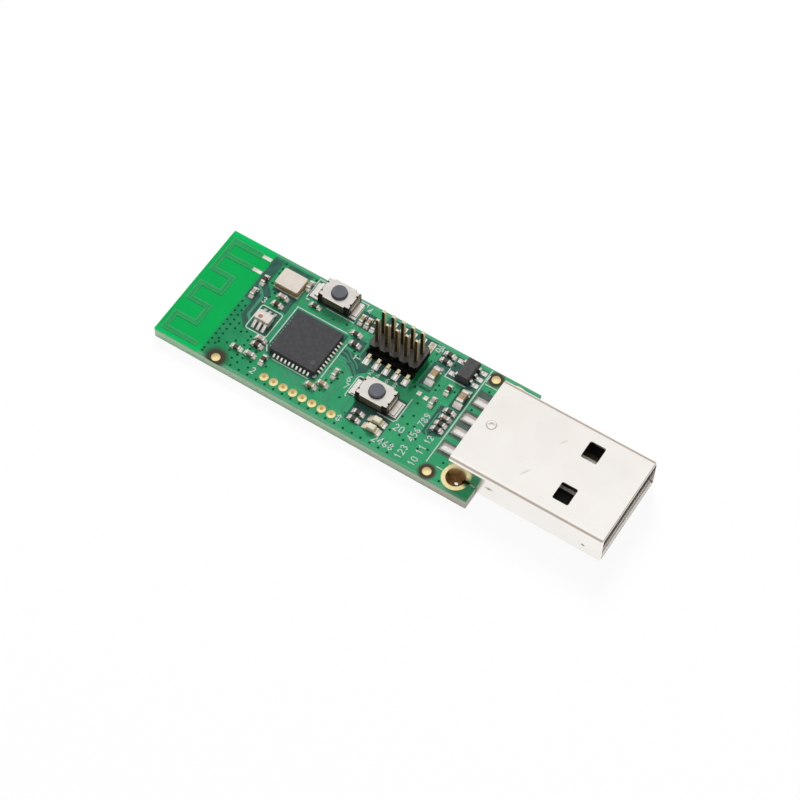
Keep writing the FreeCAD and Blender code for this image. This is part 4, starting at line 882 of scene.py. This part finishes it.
# The solder has tinned each blade where it lies on the board, so the gold gives way to a grey white there.
fade_along(blade_shade_finish, (206, 204, 200), "X", 38.2 - STICK_LENGTH / 2, 38.1 - STICK_LENGTH / 2)
for number in "1234":
    softened("plug_contact_" + number, "plug_blade_" + number, 0.03, blade_shade_finish)

# Pale strips on the blades: each blade carries a thin pale band beside its middle, a painted highlight.
blade_highlight_finish = material("blade_painted_highlight", (254, 254, 252), (248, 248, 245), 0.4, 0.8, 1.0, 0.3, 0.003)
HIGHLIGHT_LOW = 0.985
HIGHLIGHT_HIGH = 1.0
blade_rows = [BOARD_MIDDLE + offset for offset in (-3.5, -1.0, 1.0, 3.5)]
highlight_strips = [panel(48.0, 55.0, y - 0.5, y - 0.07, HIGHLIGHT_LOW, HIGHLIGHT_HIGH) for y in blade_rows]
piece("blade_highlight_strips", joined(highlight_strips), blade_highlight_finish)

# Floor, lights and camera: a plain white table, an even white surround with a low darker ring, a broad soft
# lamp behind and above, and a weaker one overhead.


def seen_directly(tree):
    """1 for rays from the eye, from a gloss or through glass, and 0 for rays that light the surfaces."""
    path = add(tree, "ShaderNodeLightPath")
    first = add(tree, "ShaderNodeMath", operation="MAXIMUM")
    second = add(tree, "ShaderNodeMath", operation="MAXIMUM")
    tree.links.new(path.outputs["Is Camera Ray"], first.inputs[0])
    tree.links.new(path.outputs["Is Glossy Ray"], first.inputs[1])
    tree.links.new(first.outputs[0], second.inputs[0])
    tree.links.new(path.outputs["Is Transmission Ray"], second.inputs[1])
    return second.outputs[0]


def make_floor():
    """The table is a large flat sheet: the eye sees it lifted to white, and it still holds the shadow."""
    mesh = bpy.data.meshes.new("table")
    half = 3.0
    corners = [(-half, -half, 0), (half, -half, 0), (half, half, 0), (-half, half, 0)]
    mesh.from_pydata(corners, [], [(0, 1, 2, 3)])
    floor = bpy.data.objects.new("table", mesh)
    floor.location.z = -0.00002
    bpy.context.scene.collection.objects.link(floor)
    finish = bpy.data.materials.new("white_table")
    finish.use_nodes = True
    tree = finish.node_tree
    tree.nodes.clear()
    out = add(tree, "ShaderNodeOutputMaterial")
    plain = add(tree, "ShaderNodeBsdfDiffuse", {"Color": (0.92, 0.92, 0.92, 1)})
    seen = add(tree, "ShaderNodeBsdfDiffuse", {"Color": (0.1, 0.1, 0.1, 1)})
    glow = add(tree, "ShaderNodeEmission", {"Color": (1, 1, 1, 1), "Strength": 0.91})
    both = add(tree, "ShaderNodeAddShader")
    choice = add(tree, "ShaderNodeMixShader")
    tree.links.new(seen.outputs[0], both.inputs[0])
    tree.links.new(glow.outputs[0], both.inputs[1])
    tree.links.new(seen_directly(tree), choice.inputs[0])
    tree.links.new(plain.outputs[0], choice.inputs[1])
    tree.links.new(both.outputs[0], choice.inputs[2])
    tree.links.new(choice.outputs[0], out.inputs["Surface"])
    mesh.materials.append(finish)


def make_dark_walls():
    """A low ring of cloth round the table, unseen by the camera, gives the bends of the metal a dark line."""
    radius, low, high, sides = 1.0, 0.01, 1.25, 48
    turn = np.linspace(0, 2 * np.pi, sides, endpoint=False)
    around = np.stack([radius * np.cos(turn), radius * np.sin(turn)], -1)
    points = np.vstack([np.column_stack([around, np.full(sides, z)]) for z in (low, high)])
    step = np.arange(sides)
    quads = np.stack([step, np.roll(step, -1), np.roll(step, -1) + sides, step + sides], -1)
    mesh = bpy.data.meshes.new("dark_walls")
    mesh.from_pydata(points.tolist(), [], quads.tolist())
    walls = bpy.data.objects.new("dark_walls", mesh)
    bpy.context.scene.collection.objects.link(walls)
    walls.visible_camera = False
    walls.visible_shadow = False
    finish = material("dark_cloth", (210, 201, 189), (202, 193, 182), 20.0, 0.9, 0.0, 2.0, 0.1)
    tree = finish.node_tree
    tone = add(tree, "ShaderNodeEmission", {"Color": paint(184, 175, 164), "Strength": 1.0})
    choice = add(tree, "ShaderNodeMixShader")
    tree.links.new(seen_directly(tree), choice.inputs[0])
    tree.links.new(tree.nodes["Principled BSDF"].outputs[0], choice.inputs[1])
    tree.links.new(tone.outputs[0], choice.inputs[2])
    tree.links.new(choice.outputs[0], tree.nodes["Material Output"].inputs["Surface"])
    mesh.materials.append(finish)


def make_surround():
    """A white world: plain light on the surfaces, and full white where it is seen or mirrored."""
    world = bpy.data.worlds.new("surround")
    bpy.context.scene.world = world
    world.use_nodes = True
    tree = world.node_tree
    tree.nodes.clear()
    out = add(tree, "ShaderNodeOutputWorld")
    light = add(tree, "ShaderNodeBackground", {"Color": (1, 1, 1, 1), "Strength": 0.42})
    white = add(tree, "ShaderNodeBackground", {"Color": (1, 1, 1, 1), "Strength": 1.0})
    choice = add(tree, "ShaderNodeMixShader")
    tree.links.new(seen_directly(tree), choice.inputs[0])
    tree.links.new(light.outputs[0], choice.inputs[1])
    tree.links.new(white.outputs[0], choice.inputs[2])
    tree.links.new(choice.outputs[0], out.inputs["Surface"])


def make_lamp(name, place, aim, size, power):
    """A square lamp of a size in metres that faces a point."""
    light = bpy.data.lights.new(name, "AREA")
    light.size = size
    light.energy = power
    lamp = bpy.data.objects.new(name, light)
    bpy.context.scene.collection.objects.link(lamp)
    lamp.location = place
    lamp.visible_glossy = False
    lamp.rotation_mode = "QUATERNION"
    lamp.rotation_quaternion = (Vector(aim) - Vector(place)).to_track_quat("-Z", "Y")


def make_camera():
    """The eye stands to the near right and looks down along the stick, turned so that its right side dips."""
    data = bpy.data.cameras.new("camera")
    data.lens = 111.12
    data.sensor_width = 36.0
    data.clip_start = 0.01
    data.clip_end = 20.0
    camera = bpy.data.objects.new("camera", data)
    bpy.context.scene.collection.objects.link(camera)
    right = Vector((0.844, 0.536, 0.0194))
    up = Vector((-0.4638, 0.7111, 0.5284))
    back = right.cross(up).normalized()
    up = back.cross(right).normalized()
    right = up.cross(back)
    turned = Matrix((right, up, back)).transposed().to_4x4()
    camera.matrix_world = Matrix.Translation(Vector(at(101.71, -117.01, 231.45).tolist())) @ turned
    bpy.context.scene.camera = camera


make_floor()
make_dark_walls()
make_surround()
make_lamp("back_lamp", (-0.22, 0.42, 0.45), (0, 0, 0), 0.22, 3.0)
make_lamp("top_lamp", (0.05, 0.1, 0.7), (0, 0, 0), 0.3, 0.7)
make_camera()
bpy.context.scene.view_settings.view_transform = "Standard"
